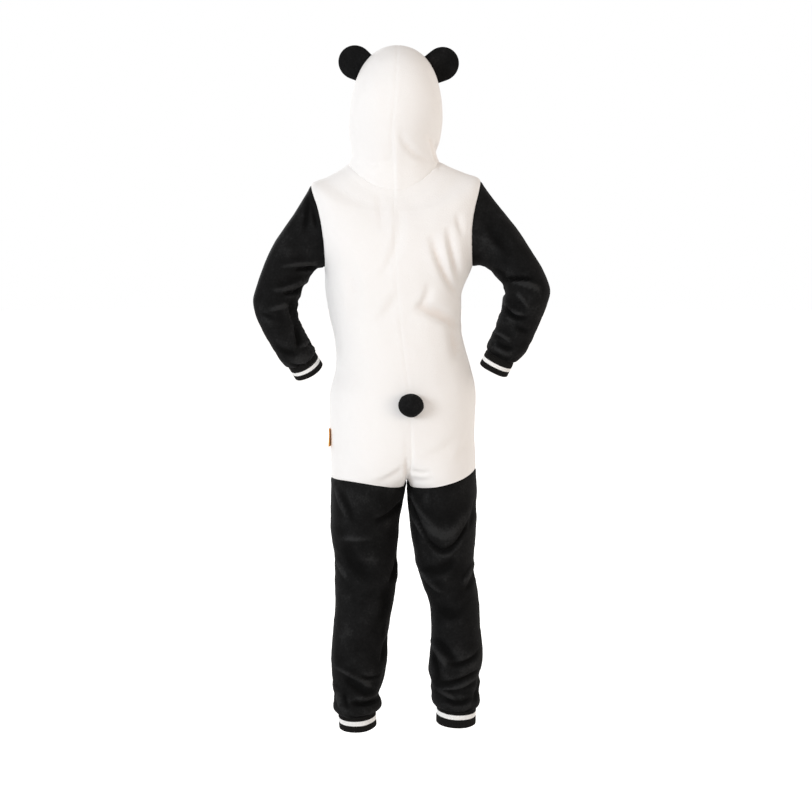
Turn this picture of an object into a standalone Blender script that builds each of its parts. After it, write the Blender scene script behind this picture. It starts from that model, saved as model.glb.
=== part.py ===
"""A child's panda onesie, worn and hollow: every cut piece of the garment as its own solid.

The garment stands upright, +Z up, its zip facing -Y and its wearer's left at +X. The origin is
level with the shoulder tips, in the middle of the neck. Tables are in millimetres and degrees.
Each sheet of cloth is a grid of points on the garment's outer face, and a wall of fleece inside it.
"""

import math

import bmesh
import bpy
import numpy as np
from mathutils import Matrix, Vector

MM = 0.001

# Cloth
FLEECE = 2.5
RIB_KNIT = 2.6
SEAM_GAP = 0.3
MITRE_LIMIT = 0.55
CROTCH_CLEAR = 1.4
CROTCH_SPREAD = 0.3                              # moves columns away from the crotch
WELD, WELD_SHIFT = 0.05, 0.237                   # points this close are one, off round numbers
SLEEVE_FADE, LEG_FADE, HOOD_FADE = 70.0, 70.0, 110.0
CLOTH_CREASE, TRIM_CREASE = 50.0, 35.0           # degrees past which shading breaks
BACK_COLUMNS, FRONT_COLUMNS = 10, 7
ARM_ROWS = 8
SLEEVE_ROWS, LEG_ROWS, HOOD_ROWS = 20, 22, 10

# Front opening
ZIP_EDGE = 5.0
ZIP_CLOSED_AT, ZIP_OPEN_AT, ZIP_TOP = 60.0, 82.0, 0.85
ZIP_FOOT = (0.1, 0.7)
ZIP_CURVE, THROAT_CURVE = 5, 6                   # how close to the zip its edges stay open
THROAT_SPREAD = 4.0
CHAIN_HALF, CHAIN_SINK, CHAIN_THICK = 2.6, 1.0, 2.2
TAPE_INNER, TAPE_OUTER, TAPE_THICK, TAPE_EASE = 3.4, 17.0, 0.9, 0.35
SLIDER_AT = 548.0
SLIDER = (8.0, 10.0, 3.2)                        # across, along, proud
BRIDGE = (1.8, 8.4, 1.3, 2.2)                    # across, along, thick, height of its hollow
PULL = (6.4, 22.0, 1.1)                          # across, along, thick
BRIDGE_WALL, BRIDGE_CORNER, BRIDGE_SINK = 1.5, 0.7, 0.2
SLIDER_ROUND = 0.7
PULL_SLOT = (3.0, 3.6, 1.3)                      # across, along, bar above it
PULL_EASE, PULL_DROP = 0.25, 0.4
PULL_CORNER, SLOT_CORNER = 1.6, 0.5

# Rings round the torso, from the crotch up to the neck. "at" runs up the side seam, the armhole
# and the shoulder seam. "lobe" parts a ring into two thighs (1) or leaves one oval (0).
TORSO_COLUMNS = (
    "at", "z_back", "z_side", "z_front", "half_left", "half_right", "back", "front",
    "lobe", "bulge", "mid_x", "mid_y", "turn", "tilt",
)
TORSO_RINGS = (
    (0, -548, -524, -548, 139, 126, 84, 78, 1.00, 1.00, -17, 2, 3, -8),         # crotch seam
    (24, -529, -500, -531, 138, 127, 93, 84, 0.72, 0.98, -16, 2, 5, -5),
    (60, -494, -464, -499, 137, 127, 101, 90, 0.36, 0.94, -14, 2, 7, -2),       # seat
    (110, -436, -418, -438, 136, 130, 104, 96, 0.08, 0.90, -12, 2, 7, 0),
    (150, -378, -376, -378, 133, 133, 100, 99, 0.00, 0.88, -10, 0, 7, 0),       # hips
    (195, -330, -330, -330, 119, 126, 91, 97, 0.00, 0.88, -7, -3, 6, 0),
    (233, -290, -290, -290, 118, 116, 85, 94, 0.00, 0.88, -5, -4, 4, 0),        # waist
    (288, -235, -235, -235, 125, 114, 85, 92, 0.00, 0.86, -2, -3, 2, 0),
    (333, -190, -190, -190, 129, 119, 90, 92, 0.00, 0.84, 1, 0, 1, 0),
    (374, -148, -148, -150, 130, 138, 94, 91, 0.00, 0.82, 2, 2, 0, -1),         # underarm
    (410, -121, -114, -128, 139, 150, 95, 88, 0.00, 0.80, 3, 2, 0, -2),
    (450, -91, -75, -106, 147, 156, 92, 84, 0.00, 0.80, 4, 1, 0, -3),
    (490, -69, -36, -87, 150, 157, 86, 80, 0.00, 0.80, 4, 0, 0, -3),
    (526, -50, 3, -72, 150, 155, 79, 76, 0.00, 0.82, 5, -2, 0, -4),             # shoulder tip
    (560, -35, 16, -60, 123, 128, 71, 73, 0.00, 0.88, 5, -5, 0, -4),
    (602, -9, 37, -45, 81, 80, 64, 70, 0.00, 0.95, 5, -8, 0, -2),               # neck seam
)
# Near the crotch the rings hang lower over each thigh than between them: by the notch, which is
# NOTCH_WIDE of the way across, and by a sag halfway across.
HANG_COLUMNS = ("at", "notch", "sag", "sag_tilt")
HANG = (
    (0, 9, -2, -5),
    (24, 4, -1, -3),
    (60, 0, 0, 0),
    (110, 0, 0, 0),
    (602, 0, 0, 0),
)
NOTCH_WIDE = 0.08
UNDERARM_AT, TIP_AT = 374.0, 526.0
ARMHOLE_BITE = 0.34
# Rows of each torso panel: (from, to, number of rows), with the armhole's own rows between them.
LOWER_ROWS = ((0, 60, 5), (60, 150, 4), (150, 374, 9))
YOKE_ROWS = ((526, 602, 4),)

# Sections along each sleeve: its outer and inner edge seen from behind, its depth round "y",
# and how far the ring leans towards the hand at the back.
SLEEVE_COLUMNS = ("at", "outer_x", "outer_z", "inner_x", "inner_z", "y", "depth", "lean")
SLEEVE_LEFT = (
    (0, 162, -2, 134, -147, 2, 54, 0),           # armhole
    (25, 185, -44, 142, -149, 3, 53, 0),
    (52, 205, -78, 149, -154, 8, 49, 2),
    (80, 226, -113, 157, -165, 18, 45, 4),
    (106, 241, -146, 165, -181, 29, 42, 5),
    (130, 252, -178, 173, -194, 40, 41, 6),
    (150, 259, -205, 177, -206, 46, 41, 8),      # elbow
    (168, 256, -229, 177, -219, 44, 40, 10),
    (192, 246, -256, 178, -240, 36, 37, 13),
    (217, 234, -281, 168, -261, 25, 35, 16),
    (240, 222, -303, 160, -281, 13, 34, 19),
    (260, 209, -322, 152, -297, 1, 32, 21),
    (272, 201, -330, 151, -302, -7, 28, 22),     # cuff seam
)
SLEEVE_RIGHT = (
    (0, -151, 4, -136, -147, 2, 54, 0),
    (25, -173, -26, -147, -146, 3, 53, 0),
    (52, -197, -56, -157, -148, 8, 49, 1),
    (80, -222, -88, -169, -155, 18, 45, 2),
    (106, -244, -122, -179, -167, 28, 42, 3),
    (130, -264, -156, -189, -180, 38, 41, 4),
    (150, -275, -189, -193, -194, 44, 41, 5),
    (168, -270, -214, -190, -210, 43, 40, 6),
    (192, -261, -240, -185, -229, 38, 37, 7),
    (217, -251, -265, -179, -250, 32, 36, 8),
    (240, -241, -288, -171, -270, 26, 35, 9),
    (260, -228, -308, -165, -288, 19, 32, 9),
    (273, -213, -321, -163, -297, 15, 28, 9),
)
WRIST_CUFF = 30.0

# Sections down each leg. "lean" lowers a section's back and "roll" its outer side, in degrees,
# where the leg rests on the foot.
LEG_COLUMNS = ("z", "mid_x", "half", "mid_y", "back", "front", "lean", "roll")
LEG_LEFT = (
    (-540, 53, 69, 2, 84, 78, 0, 0),                   # crotch seam
    (-570, 55, 67, 3, 82, 77, 0, 0),
    (-605, 59, 64, 2, 76, 74, 0, 0),
    (-640, 59.5, 62.5, 0, 70, 70, 0, 0),
    (-678, 58, 58, -3, 62, 66, 0, 0),
    (-700, 57, 58, -4, 60, 64, 0, 0),                  # knee
    (-735, 59, 56, -4, 57, 60, 0, 0),
    (-775, 62, 53, -2, 56, 56, 0, 0),
    (-815, 68, 51, 3, 55, 52, 0, 0),
    (-859, 70, 52, 8, 54, 49, 0, 0),                   # calf
    (-900, 72, 49, 9, 50, 46, 0, 0),
    (-925, 75, 45, 9, 46, 43, 2, 1),
    (-938, 77, 41, 8, 43, 41, 4, 1.5),
    (-950, 75, 44, 7, 44, 42, 6, 2),
    (-962, 75, 43, 6, 42, 41, 7, 2.5),
    (-973, 75, 35, 5, 36, 36, 8, 3),                   # cuff seam
)
LEG_RIGHT = (
    (-540, -80, 63, 2, 84, 78, 0, 0),
    (-570, -82, 64, 3, 82, 77, 0, 0),
    (-605, -83, 62, 2, 76, 74, 0, 0),
    (-640, -84.5, 60, 0, 70, 70, 0, 0),
    (-670, -86, 56, -3, 62, 66, 0, 0),
    (-700, -89, 53, -4, 58, 63, 0, 0),
    (-735, -97, 50, -4, 54, 58, 0, 0),
    (-768, -105, 46, -2, 52, 53, 0, 0),
    (-813, -108, 45, 3, 50, 49, 0, 0),
    (-865, -109, 49, 7, 50, 47, 0, 0),
    (-885, -107, 49, 8, 49, 46, 0, 0),
    (-902, -106, 46, 8, 46, 44, 0, 0),
    (-918, -108, 45, 7, 45, 43, 1, 0.5),
    (-940, -108, 44, 6, 44, 42, 4, 2),
    (-954, -109, 42, 5, 42, 40, 5, 2.5),
    (-963, -110, 37, 5, 37, 37, 6, 3),
)
ANKLE_CUFF = 27.0

# Rings of the hood, from the neck seam round to the face opening. Each runs from the centre seam
# over the head down to the throat. "egg" draws the widest place up towards the seam, and
# "lift" raises the sides.
HOOD_COLUMNS = ("at", "seam_y", "seam_z", "throat_y", "throat_z", "half", "egg", "lift", "mid_x")
HOOD_RINGS = (
    (0, 56, -9, -78, -45, 80, 0.00, 64, 5),      # neck seam
    (42, 61, 33, -80, -41, 77, 0.06, 54, 6),
    (88, 82, 79, -82, -37, 76, 0.12, 44, 9),
    (136, 97, 128, -84, -33, 81, 0.16, 32, 6),
    (184, 97, 177, -86, -30, 84, 0.18, 20, 2),
    (232, 76, 220, -87, -27, 83, 0.20, 10, 0),
    (280, 37, 244, -88, -24, 80, 0.22, 4, -1),
    (329, -12, 247, -88, -21, 77, 0.24, 1, 0),
    (369, -50, 237, -88, -18, 73, 0.26, 0, 1),
    (395, -72, 225, -88, -16, 70, 0.26, 0, 2),   # face opening
)

# Folds, as soft ridges (+) and troughs (-). Each lies between two points seen from its side:
# x is across, z is up, "bow" bends it, "wide" is its half width.
FOLD_COLUMNS = ("side", "x1", "z1", "x2", "z2", "bow", "wide", "height")
FOLDS = (
    ("back", 36, -22, 30, -118, 3, 9, -3.0),
    ("back", 8, -50, -6, -150, -6, 9, -3.5),
    ("back", 2, -170, 42, -300, 6, 14, -5.0),
    ("back", -62, -82, -116, -232, 10, 9, -7.5),
    ("back", -92, -70, -122, -190, 4, 8, -8.0),
    ("back", -44, -238, -118, -278, 8, 14, -7.5),
    ("back", -84, -300, -128, -372, -8, 13, -5.5),
    ("back", -14, -425, -14, -515, 0, 10, -5.0),
    ("back", -20, -470, 48, -512, -5, 11, -6.0),
    ("back", -30, -470, -98, -452, 10, 13, -3.0),
    ("back", -2, 108, -66, 44, -10, 10, -5.5),
    ("back", 74, 40, 34, 42, 3, 8, -3.0),
    ("front", -40, -60, -100, -150, 6, 12, -5.0),
    ("front", 44, -64, 104, -150, -6, 12, -5.0),
    ("front", -112, -268, -40, -300, -8, 14, -6.0),
    ("front", 104, -280, 34, -312, 8, 14, -6.0),
    ("front", -106, -452, -44, -500, -8, 14, -5.5),
    ("front", 84, -452, 22, -500, 8, 14, -5.5),
    # left sleeve
    ("back", 160, -158, 208, -154, 3, 8, -7.0),
    ("back", 172, -194, 226, -186, 6, 9, -7.5),
    ("back", 168, -226, 226, -214, -8, 10, -6.0),
    ("back", 168, -270, 212, -262, -8, 8, -5.0),
    ("front", 162, -190, 226, -180, -8, 10, -7.5),
    ("front", 166, -218, 232, -210, 6, 9, -6.0),
    ("front", 160, -268, 214, -272, -6, 9, -5.0),
    # right sleeve
    ("back", -186, -184, -246, -178, 4, 8, -7.5),
    ("back", -186, -216, -236, -234, -8, 9, -6.0),
    ("back", -180, -252, -236, -250, -8, 9, -6.0),
    ("front", -182, -180, -246, -170, -6, 10, -7.5),
    ("front", -178, -214, -244, -208, 6, 9, -6.0),
    ("front", -172, -262, -226, -266, -6, 9, -5.0),
    # legs
    ("back", -30, -568, -146, -590, -58, 11, -7.5),
    ("back", -40, -690, -90, -735, -6, 14, -5.5),
    ("back", 112, -566, 98, -630, 0, 10, 3.0),
    ("back", 114, -690, 92, -760, 0, 12, -5.5),
    ("back", 2, -630, 30, -700, 6, 14, -5.0),
    ("back", -70, -836, -118, -876, -14, 11, -6.0),
    ("back", -74, -906, -146, -890, 12, 10, -7.0),
    ("back", 118, -872, 52, -922, 4, 10, -7.0),
    ("back", 36, -948, 96, -944, 2, 7, -6.0),
    ("front", 8, -590, 108, -606, 6, 12, -6.0),
    ("front", -30, -592, -138, -606, -6, 12, -6.0),
    ("front", 14, -712, 108, -704, -10, 12, -6.0),
    ("front", -48, -716, -138, -706, 10, 12, -6.0),
    ("front", 30, -900, 116, -912, -8, 11, -7.0),
    ("front", -66, -896, -150, -906, 8, 11, -7.0),
    ("front", 36, -940, 112, -944, 5, 8, -5.5),
    ("front", -72, -934, -142, -938, -5, 8, -5.5),
)
FOLD_SPREAD = 1.5
LOOK = {"back": (0, 1, 0), "front": (0, -1, 0)}

# Ribbed cuffs: number of ribs round each, and their height.
WRIST_RIBS, ANKLE_RIBS, RIB_RAISE = 32, 40, 0.8

# Trimmings. Each ear stands on its hood half between two turns of the ring at EAR_AT; its rim is
# an arc about a point over the middle of its base.
EAR_AT = 300.0
EAR_COLUMNS, EAR_ROWS, EAR_GAP = 10, 5, 0.4
EAR_THICK, EAR_RIM = 6.0, 1.2
EAR_SWELL, EAR_TAPER = 4, 0.97                   # swelling across, and how far it dies out at the rim
EARS = (
    # word, side, base from, base to, centre over base, radius, arc from, arc to
    ("left", 1, 0.52, 1.01, 18, 31, 193, -13),
    ("right", -1, 0.56, 1.05, 22, 31, 193, -13),
)
TAIL_HALF = (23.0, 19.0, 21.0)
TAIL_FLAT, TAIL_TURN, TAIL_LIFT = 12.0, 7.0, 0.9
TAIL_HEIGHT = -391.5
LABEL_AT, LABEL_HALF, LABEL_LONG, LABEL_THICK = 68.5, 16.5, 13.0, 1.2
LABEL_OFF, LABEL_TURN, LABEL_ROUND = 2.6, 77.0, 0.3

COLOURS = {
    "white_fleece": (0.86, 0.85, 0.83),
    "black_fleece": (0.012, 0.012, 0.013),
    "black_rib": (0.014, 0.013, 0.012),
    "white_tape": (0.80, 0.80, 0.79),
    "zip_metal": (0.62, 0.62, 0.60),
    "orange_ribbon": (0.85, 0.36, 0.05),
}
ROUGHNESS = {"zip_metal": 0.3}


def clear_scene():
    for obj in list(bpy.data.objects):
        bpy.data.objects.remove(obj)


def material(name):
    found = bpy.data.materials.get(name)
    if found:
        return found
    made = bpy.data.materials.new(name)
    made.use_nodes = True
    shader = made.node_tree.nodes["Principled BSDF"]
    shader.inputs["Base Color"].default_value = (*COLOURS[name], 1)
    shader.inputs["Roughness"].default_value = ROUGHNESS.get(name, 0.95)
    shader.inputs["Metallic"].default_value = 1.0 if name in ROUGHNESS else 0.0
    return made


def add(collection, name, mesh, finish):
    obj = bpy.data.objects.new(name, mesh)
    collection.objects.link(obj)
    mesh.materials.clear()
    mesh.materials.append(material(finish))
    return obj


def smooth_curve(table, names, at):
    """Every column of a table at the places "at": a cubic curve through its rows."""
    rows = np.array(table, float)
    knots = rows[:, 0]
    if knots[0] > knots[-1]:
        rows, knots = rows[::-1], knots[::-1]
    slopes = np.gradient(rows, knots, axis=0)
    at = np.asarray(at, float)
    i = np.clip(np.searchsorted(knots, at, side="right") - 1, 0, len(knots) - 2)
    span = knots[i + 1] - knots[i]
    t = ((at - knots[i]) / span)[..., None]
    span = span[..., None]
    value = (
        (2 * t**3 - 3 * t**2 + 1) * rows[i]
        + (t**3 - 2 * t**2 + t) * span * slopes[i]
        + (3 * t**2 - 2 * t**3) * rows[i + 1]
        + (t**3 - t**2) * span * slopes[i + 1]
    )
    return dict(zip(names, np.moveaxis(value, -1, 0)))


def fade(at, until):
    """1 at a seam, falling softly to 0 at "until"."""
    t = np.clip(at / until, 0, 1)
    return (1 - t) ** 2 * (1 + 2 * t)


def torso(side, front, at, across):
    """Outer face of a torso panel: "across" runs from the centre seam (0) to the side (1)."""
    r = smooth_curve(TORSO_RINGS, TORSO_COLUMNS, at)
    half = r["half_left"] if side > 0 else r["half_right"]
    lobe = np.clip(r["lobe"], 0, 1)
    start = np.arccos(lobe ** (1 / r["bulge"]))
    angle = start + (across + CROTCH_SPREAD * lobe * across * (1 - across)) * (math.pi - start)
    cosine, sine = np.cos(angle), np.abs(np.sin(angle))
    x = (lobe - np.sign(cosine) * np.abs(cosine) ** r["bulge"]) * half / (1 + lobe)
    y = sine ** r["bulge"] * np.where(front, -r["front"], r["back"])
    middle = np.where(front, r["z_front"], r["z_back"])
    z = middle + (r["z_side"] + side * r["tilt"] - middle) * np.sin(across * math.pi / 2) ** 2
    hang = smooth_curve(HANG, HANG_COLUMNS, at)
    z = z + hang["notch"] * np.exp(-((across / NOTCH_WIDE) ** 2))
    z = z - (hang["sag"] + side * hang["sag_tilt"]) * np.sin(across * math.pi) ** 2
    if front:
        opening = np.clip((at - ZIP_CLOSED_AT) / (ZIP_OPEN_AT - ZIP_CLOSED_AT), 0, 1)
        x = x + ZIP_EDGE * opening * (1 - across) ** ZIP_CURVE
    turn = np.radians(r["turn"])
    x, y = side * x * np.cos(turn) - y * np.sin(turn), side * x * np.sin(turn) + y * np.cos(turn)
    return np.stack([x + r["mid_x"], y + r["mid_y"], z], axis=-1)


def torso_rows():
    """(at, edge) of every row of a torso panel; the edge is where the armhole cuts it short."""
    at = [np.linspace(a, b, n, endpoint=False) for a, b, n in LOWER_ROWS]
    turn = np.linspace(0, math.pi, ARM_ROWS, endpoint=False)
    at.append(UNDERARM_AT + (TIP_AT - UNDERARM_AT) * (1 - np.cos(turn)) / 2)
    at += [np.linspace(a, b, n + 1) for a, b, n in YOKE_ROWS]
    at = np.concatenate(at)
    inside = np.clip((at - UNDERARM_AT) / (TIP_AT - UNDERARM_AT), 0, 1)
    edge = 1 - ARMHOLE_BITE * 2 * np.sqrt(inside * (1 - inside))
    return at, edge


def torso_panel(side, front):
    at, edge = torso_rows()
    columns = FRONT_COLUMNS if front else BACK_COLUMNS
    across = np.linspace(0, 1, columns + 1)[:, None] * edge[None, :]
    return torso(side, front, np.broadcast_to(at, across.shape), across)


def armhole(side, turn):
    """The armhole seam: turn 0 is the underarm, pi the shoulder tip, and the back comes first."""
    at = UNDERARM_AT + (TIP_AT - UNDERARM_AT) * (1 - np.cos(turn)) / 2
    across = 1 - ARMHOLE_BITE * np.abs(np.sin(turn))
    back = torso(side, False, at, across)
    front = torso(side, True, at, across)
    return np.where((turn <= math.pi)[..., None], back, front)


def sleeve_ring(table, at, turn):
    r = smooth_curve(table, SLEEVE_COLUMNS, at)
    outer = np.stack([r["outer_x"], 0 * at, r["outer_z"]], axis=-1)
    inner = np.stack([r["inner_x"], 0 * at, r["inner_z"]], axis=-1)
    middle = (outer + inner) / 2 + np.stack([0 * at, r["y"], 0 * at], axis=-1)
    half = (inner - outer) / 2
    along = np.stack([-half[..., 2], 0 * at, half[..., 0]], axis=-1)
    along *= -np.sign(along[..., 2:]) / np.linalg.norm(along, axis=-1, keepdims=True)
    lean = np.radians(r["lean"])[..., None]
    deep = np.cos(lean) * np.array([0.0, 1.0, 0.0]) + np.sin(lean) * along
    deep *= r["depth"][..., None]
    return middle + half * np.cos(turn)[..., None] + deep * np.sin(turn)[..., None]


def sleeve_panel(side):
    table = SLEEVE_LEFT if side > 0 else SLEEVE_RIGHT
    around = np.linspace(0, 2 * math.pi, 2 * ARM_ROWS + 1)[:-1]
    at = np.linspace(0, table[-1][0], SLEEVE_ROWS + 1)
    turn, at = np.meshgrid(around, at, indexing="ij")
    ring = sleeve_ring(table, at, turn)
    seam = armhole(side, turn) - sleeve_ring(table, 0 * at, turn)
    return ring + seam * fade(at, SLEEVE_FADE)[..., None]


def leg_ring(side, table, front, z, across):
    r = smooth_curve(table, LEG_COLUMNS, z)
    angle = math.pi * across
    x = r["mid_x"] - side * r["half"] * np.cos(angle)
    y = r["mid_y"] + np.sin(angle) * (-r["front"] if front else r["back"])
    lowered = (y - r["mid_y"]) * np.tan(np.radians(r["lean"]))
    lowered = lowered + side * (x - r["mid_x"]) * np.tan(np.radians(r["roll"]))
    return np.stack([x, y, z - lowered], axis=-1)


def leg_panel(side, front):
    table = LEG_LEFT if side > 0 else LEG_RIGHT
    columns = FRONT_COLUMNS if front else BACK_COLUMNS
    top, bottom = table[0][0], table[-1][0]
    down = np.linspace(0, 1, LEG_ROWS + 1)
    across = np.linspace(0, 1, columns + 1)
    across, z = np.meshgrid(across, top + (bottom - top) * down, indexing="ij")
    ring = leg_ring(side, table, front, z, across)
    seam = torso(side, front, 0 * z, across) - leg_ring(side, table, front, 0 * z + top, across)
    return ring + seam * fade(top - z, LEG_FADE)[..., None]


def hood_ring(side, at, turn):
    r = smooth_curve(HOOD_RINGS, HOOD_COLUMNS, at)
    wide = np.sin(turn) * (1 + r["egg"] * np.cos(turn)) / (1 + 0.44 * r["egg"] ** 2)
    up = (1 + np.cos(turn)) / 2
    x = wide * r["half"] + (ZIP_EDGE + THROAT_SPREAD * at / HOOD_RINGS[-1][0]) * (1 - up) ** THROAT_CURVE
    y = r["throat_y"] + (r["seam_y"] - r["throat_y"]) * up
    z = r["throat_z"] + (r["seam_z"] - r["throat_z"]) * up + r["lift"] * np.sin(turn) ** 2
    middle = HOOD_RINGS[0][-1] + (r["mid_x"] - HOOD_RINGS[0][-1]) * up
    return np.stack([middle + side * x, y, z], axis=-1)


def neckline(side, turn):
    """The neck seam: turn 0 is the nape, pi/2 the shoulder and pi the throat."""
    top = TORSO_RINGS[-1][0] + 0 * turn
    across = turn / (math.pi / 2)
    back = torso(side, False, top, np.clip(across, 0, 1))
    front = torso(side, True, top, np.clip(2 - across, 0, 1))
    return np.where((across <= 1)[..., None], back, front)


def hood_panel(side):
    behind = np.linspace(0, 1, BACK_COLUMNS + 1)[:-1]
    before = 2 - np.linspace(0, 1, FRONT_COLUMNS + 1)[::-1]
    around = np.concatenate([behind, before]) * math.pi / 2
    at = np.linspace(0, HOOD_RINGS[-1][0], HOOD_ROWS + 1)
    turn, at = np.meshgrid(around, at, indexing="ij")
    ring = hood_ring(side, at, turn)
    seam = neckline(side, turn) - hood_ring(side, 0 * at, turn)
    return ring + seam * fade(at, HOOD_FADE)[..., None]


def cloth_panels():
    """Outer faces of all the fleece pieces: name to a grid of points, in millimetres."""
    panels = {}
    for side, word in ((1, "left"), (-1, "right")):
        panels[f"back_{word}"] = torso_panel(side, False)
        panels[f"front_{word}"] = torso_panel(side, True)
        panels[f"hood_{word}"] = hood_panel(side)
        panels[f"sleeve_{word}"] = sleeve_panel(side)
        panels[f"leg_back_{word}"] = leg_panel(side, False)
        panels[f"leg_front_{word}"] = leg_panel(side, True)
    return panels


def is_tube(name):
    return name.startswith("sleeve")


def faces_out(name):
    """1 or -1: which way round a panel's grid has to be read for its normals to point outwards."""
    sign = 1 if name.startswith(("front", "sleeve", "leg_back")) else -1
    return sign if name.endswith("left") else -sign


def sheet_normals(panels):
    """Offsets, per millimetre of wall, from every outer point to the inner face of its wall.

    Points that panels share get the same one, halfway between the panels' own, so that
    the walls meet in a mitre. At the crotch, where eight panels meet, each takes its next one.
    """
    points, normals, sizes = [], [], []
    for name, grid in panels.items():
        g = np.concatenate([grid, grid[:1]]) if is_tube(name) else grid
        face = np.cross(g[1:, 1:] - g[:-1, :-1], g[:-1, 1:] - g[1:, :-1]) * faces_out(name)
        total = np.zeros_like(g)
        for du, dv in ((0, 0), (1, 0), (0, 1), (1, 1)):
            total[du : g.shape[0] - 1 + du, dv : g.shape[1] - 1 + dv] += face
        if is_tube(name):
            total[0] += total[-1]
            total = total[:-1]
        total /= np.maximum(np.linalg.norm(total, axis=-1, keepdims=True), 1e-9)
        points.append(grid.reshape(-1, 3))
        normals.append(total.reshape(-1, 3))
        sizes.append(len(points[-1]))
    _, place = np.unique(np.round(np.concatenate(points) / WELD + WELD_SHIFT), axis=0, return_inverse=True)
    place = place.reshape(-1)
    shared = np.zeros((place.max() + 1, 3))
    np.add.at(shared, place, np.concatenate(normals))
    shared /= np.bincount(place)[:, None]
    places = dict(zip(panels, np.split(place, np.cumsum(sizes)[:-1])))
    for name in ("sleeve_left", "sleeve_right"):
        seam = places[name].reshape(panels[name].shape[:2])[:, 0]
        for _ in range(2):
            line = shared[seam]
            shared[seam] = (np.roll(line, 1, axis=0) + 2 * line + np.roll(line, -1, axis=0)) / 4
    length = np.linalg.norm(shared, axis=1, keepdims=True)
    shared /= np.maximum(length, 1e-9) * np.maximum(length, MITRE_LIMIT)
    offsets = {n: shared[places[n]].reshape(g.shape) for n, g in panels.items()}
    for name, offset in offsets.items():
        if name.startswith(("back", "front", "leg")):
            offset[0, 0] = offset[0, 1]
    return offsets


def fold_height(points, normals):
    """How far the folds lift the cloth, at every point, in millimetres."""
    height = np.zeros(points.shape[:-1])
    for row in FOLDS:
        f = dict(zip(FOLD_COLUMNS, row))
        start = np.array([f["x1"], f["z1"]], float)
        run = np.array([f["x2"], f["z2"]], float) - start
        length = np.linalg.norm(run)
        run /= length
        offset = points[..., [0, 2]] - start
        along = (offset @ run) / length
        beside = offset[..., 0] * run[1] - offset[..., 1] * run[0]
        beside = beside - f["bow"] * 4 * along * (1 - along)
        ends = np.where((along > 0) & (along < 1), np.sin(math.pi * np.clip(along, 0, 1)), 0) ** 0.7
        facing = np.clip(normals @ np.array(LOOK[f["side"]], float), 0, 1) ** 0.5
        height += f["height"] * np.exp(-((beside / (FOLD_SPREAD * f["wide"])) ** 2)) * ends * facing
    return height


def folded(panels):
    normals = sheet_normals(panels)
    lifted = {n: g + normals[n] * fold_height(g, normals[n])[..., None] for n, g in panels.items()}
    return lifted, sheet_normals(lifted)


def drawn_in(grid, normals, tube):
    """The grid with its borders moved half a seam gap away from their neighbours."""
    moved = grid.copy()
    borders = [(np.s_[:, 0], np.s_[:, 1]), (np.s_[:, -1], np.s_[:, -2])]
    if not tube:
        borders += [(np.s_[0, :], np.s_[1, :]), (np.s_[-1, :], np.s_[-2, :])]
    for edge, next_in in borders:
        line = grid[edge]
        if tube:
            run = np.roll(line, -1, axis=0) - np.roll(line, 1, axis=0)
        else:
            run = np.gradient(line, axis=0)
        across = np.cross(normals[edge], run)
        across /= np.maximum(np.linalg.norm(across, axis=1, keepdims=True), 1e-9)
        across *= np.sign((across * (grid[next_in] - line)).sum(axis=1, keepdims=True))
        moved[edge] += across * SEAM_GAP / 2
    return moved


def wall(name, outer, inner, tube=False):
    """A closed solid between two grids of points, in millimetres."""
    nu, nv = outer.shape[:2]
    index = np.arange(nu * nv).reshape(nu, nv)
    if tube:
        index = np.concatenate([index, index[:1]])
        rims = [index[:, 0], index[:, -1]]
    else:
        rims = [np.concatenate([index[:, 0], index[-1, 1:], index[-2::-1, -1], index[0, -2::-1]])]
    corners = np.stack([index[:-1, :-1], index[1:, :-1], index[1:, 1:], index[:-1, 1:]], axis=-1)
    quads = corners.reshape(-1, 4)
    under = quads[:, ::-1] + nu * nv
    strips = [np.stack([r[:-1], r[1:], r[1:] + nu * nv, r[:-1] + nu * nv], axis=-1) for r in rims]
    faces = np.concatenate([quads, under, *strips]).tolist()
    points = np.concatenate([outer.reshape(-1, 3), inner.reshape(-1, 3)]) * MM
    mesh = bpy.data.meshes.new(name)
    mesh.from_pydata(points.tolist(), [], faces)
    form = bmesh.new()
    form.from_mesh(mesh)
    bmesh.ops.recalc_face_normals(form, faces=form.faces)
    form.to_mesh(mesh)
    form.free()
    mesh.shade_smooth()
    mesh.set_sharp_from_angle(angle=math.radians(CLOTH_CREASE))
    return mesh


def cuff_frame(ring):
    """(centre, one half axis, the other half axis, unit axis) of a planar ring of points."""
    centre = ring.mean(axis=0)
    quarter = len(ring) // 4
    first, second = ring[0] - centre, ring[quarter] - centre
    axis = np.cross(first, second)
    return centre, first, second, axis / np.linalg.norm(axis)


def squared_end(normals, axis):
    """Normals of an end row, turned into the plane of the cuff's seam."""
    flat = normals - (normals @ axis)[:, None] * axis
    return flat / np.linalg.norm(flat, axis=1, keepdims=True)


def cuff(name, ring, length, ribs, downwards):
    """A ribbed tube that carries on from a ring of points: ribs outside, plain inside."""
    centre, first, second, axis = cuff_frame(ring)
    if axis @ downwards < 0:
        axis = -axis
    turn = np.linspace(0, 2 * math.pi, 2 * ribs, endpoint=False)
    plain = first * np.cos(turn)[:, None] + second * np.sin(turn)[:, None]
    out = plain / np.linalg.norm(plain, axis=1, keepdims=True)
    ribbed = plain - out * np.where(np.arange(2 * ribs) % 2, RIB_RAISE, 0.0)[:, None]
    rows = np.array([SEAM_GAP / 2, length])[None, :, None] * axis
    outer = centre + ribbed[:, None] + rows
    inner = centre + (plain - out * (RIB_KNIT + RIB_RAISE))[:, None] + rows
    return wall(name, outer, inner, tube=True)


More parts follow.
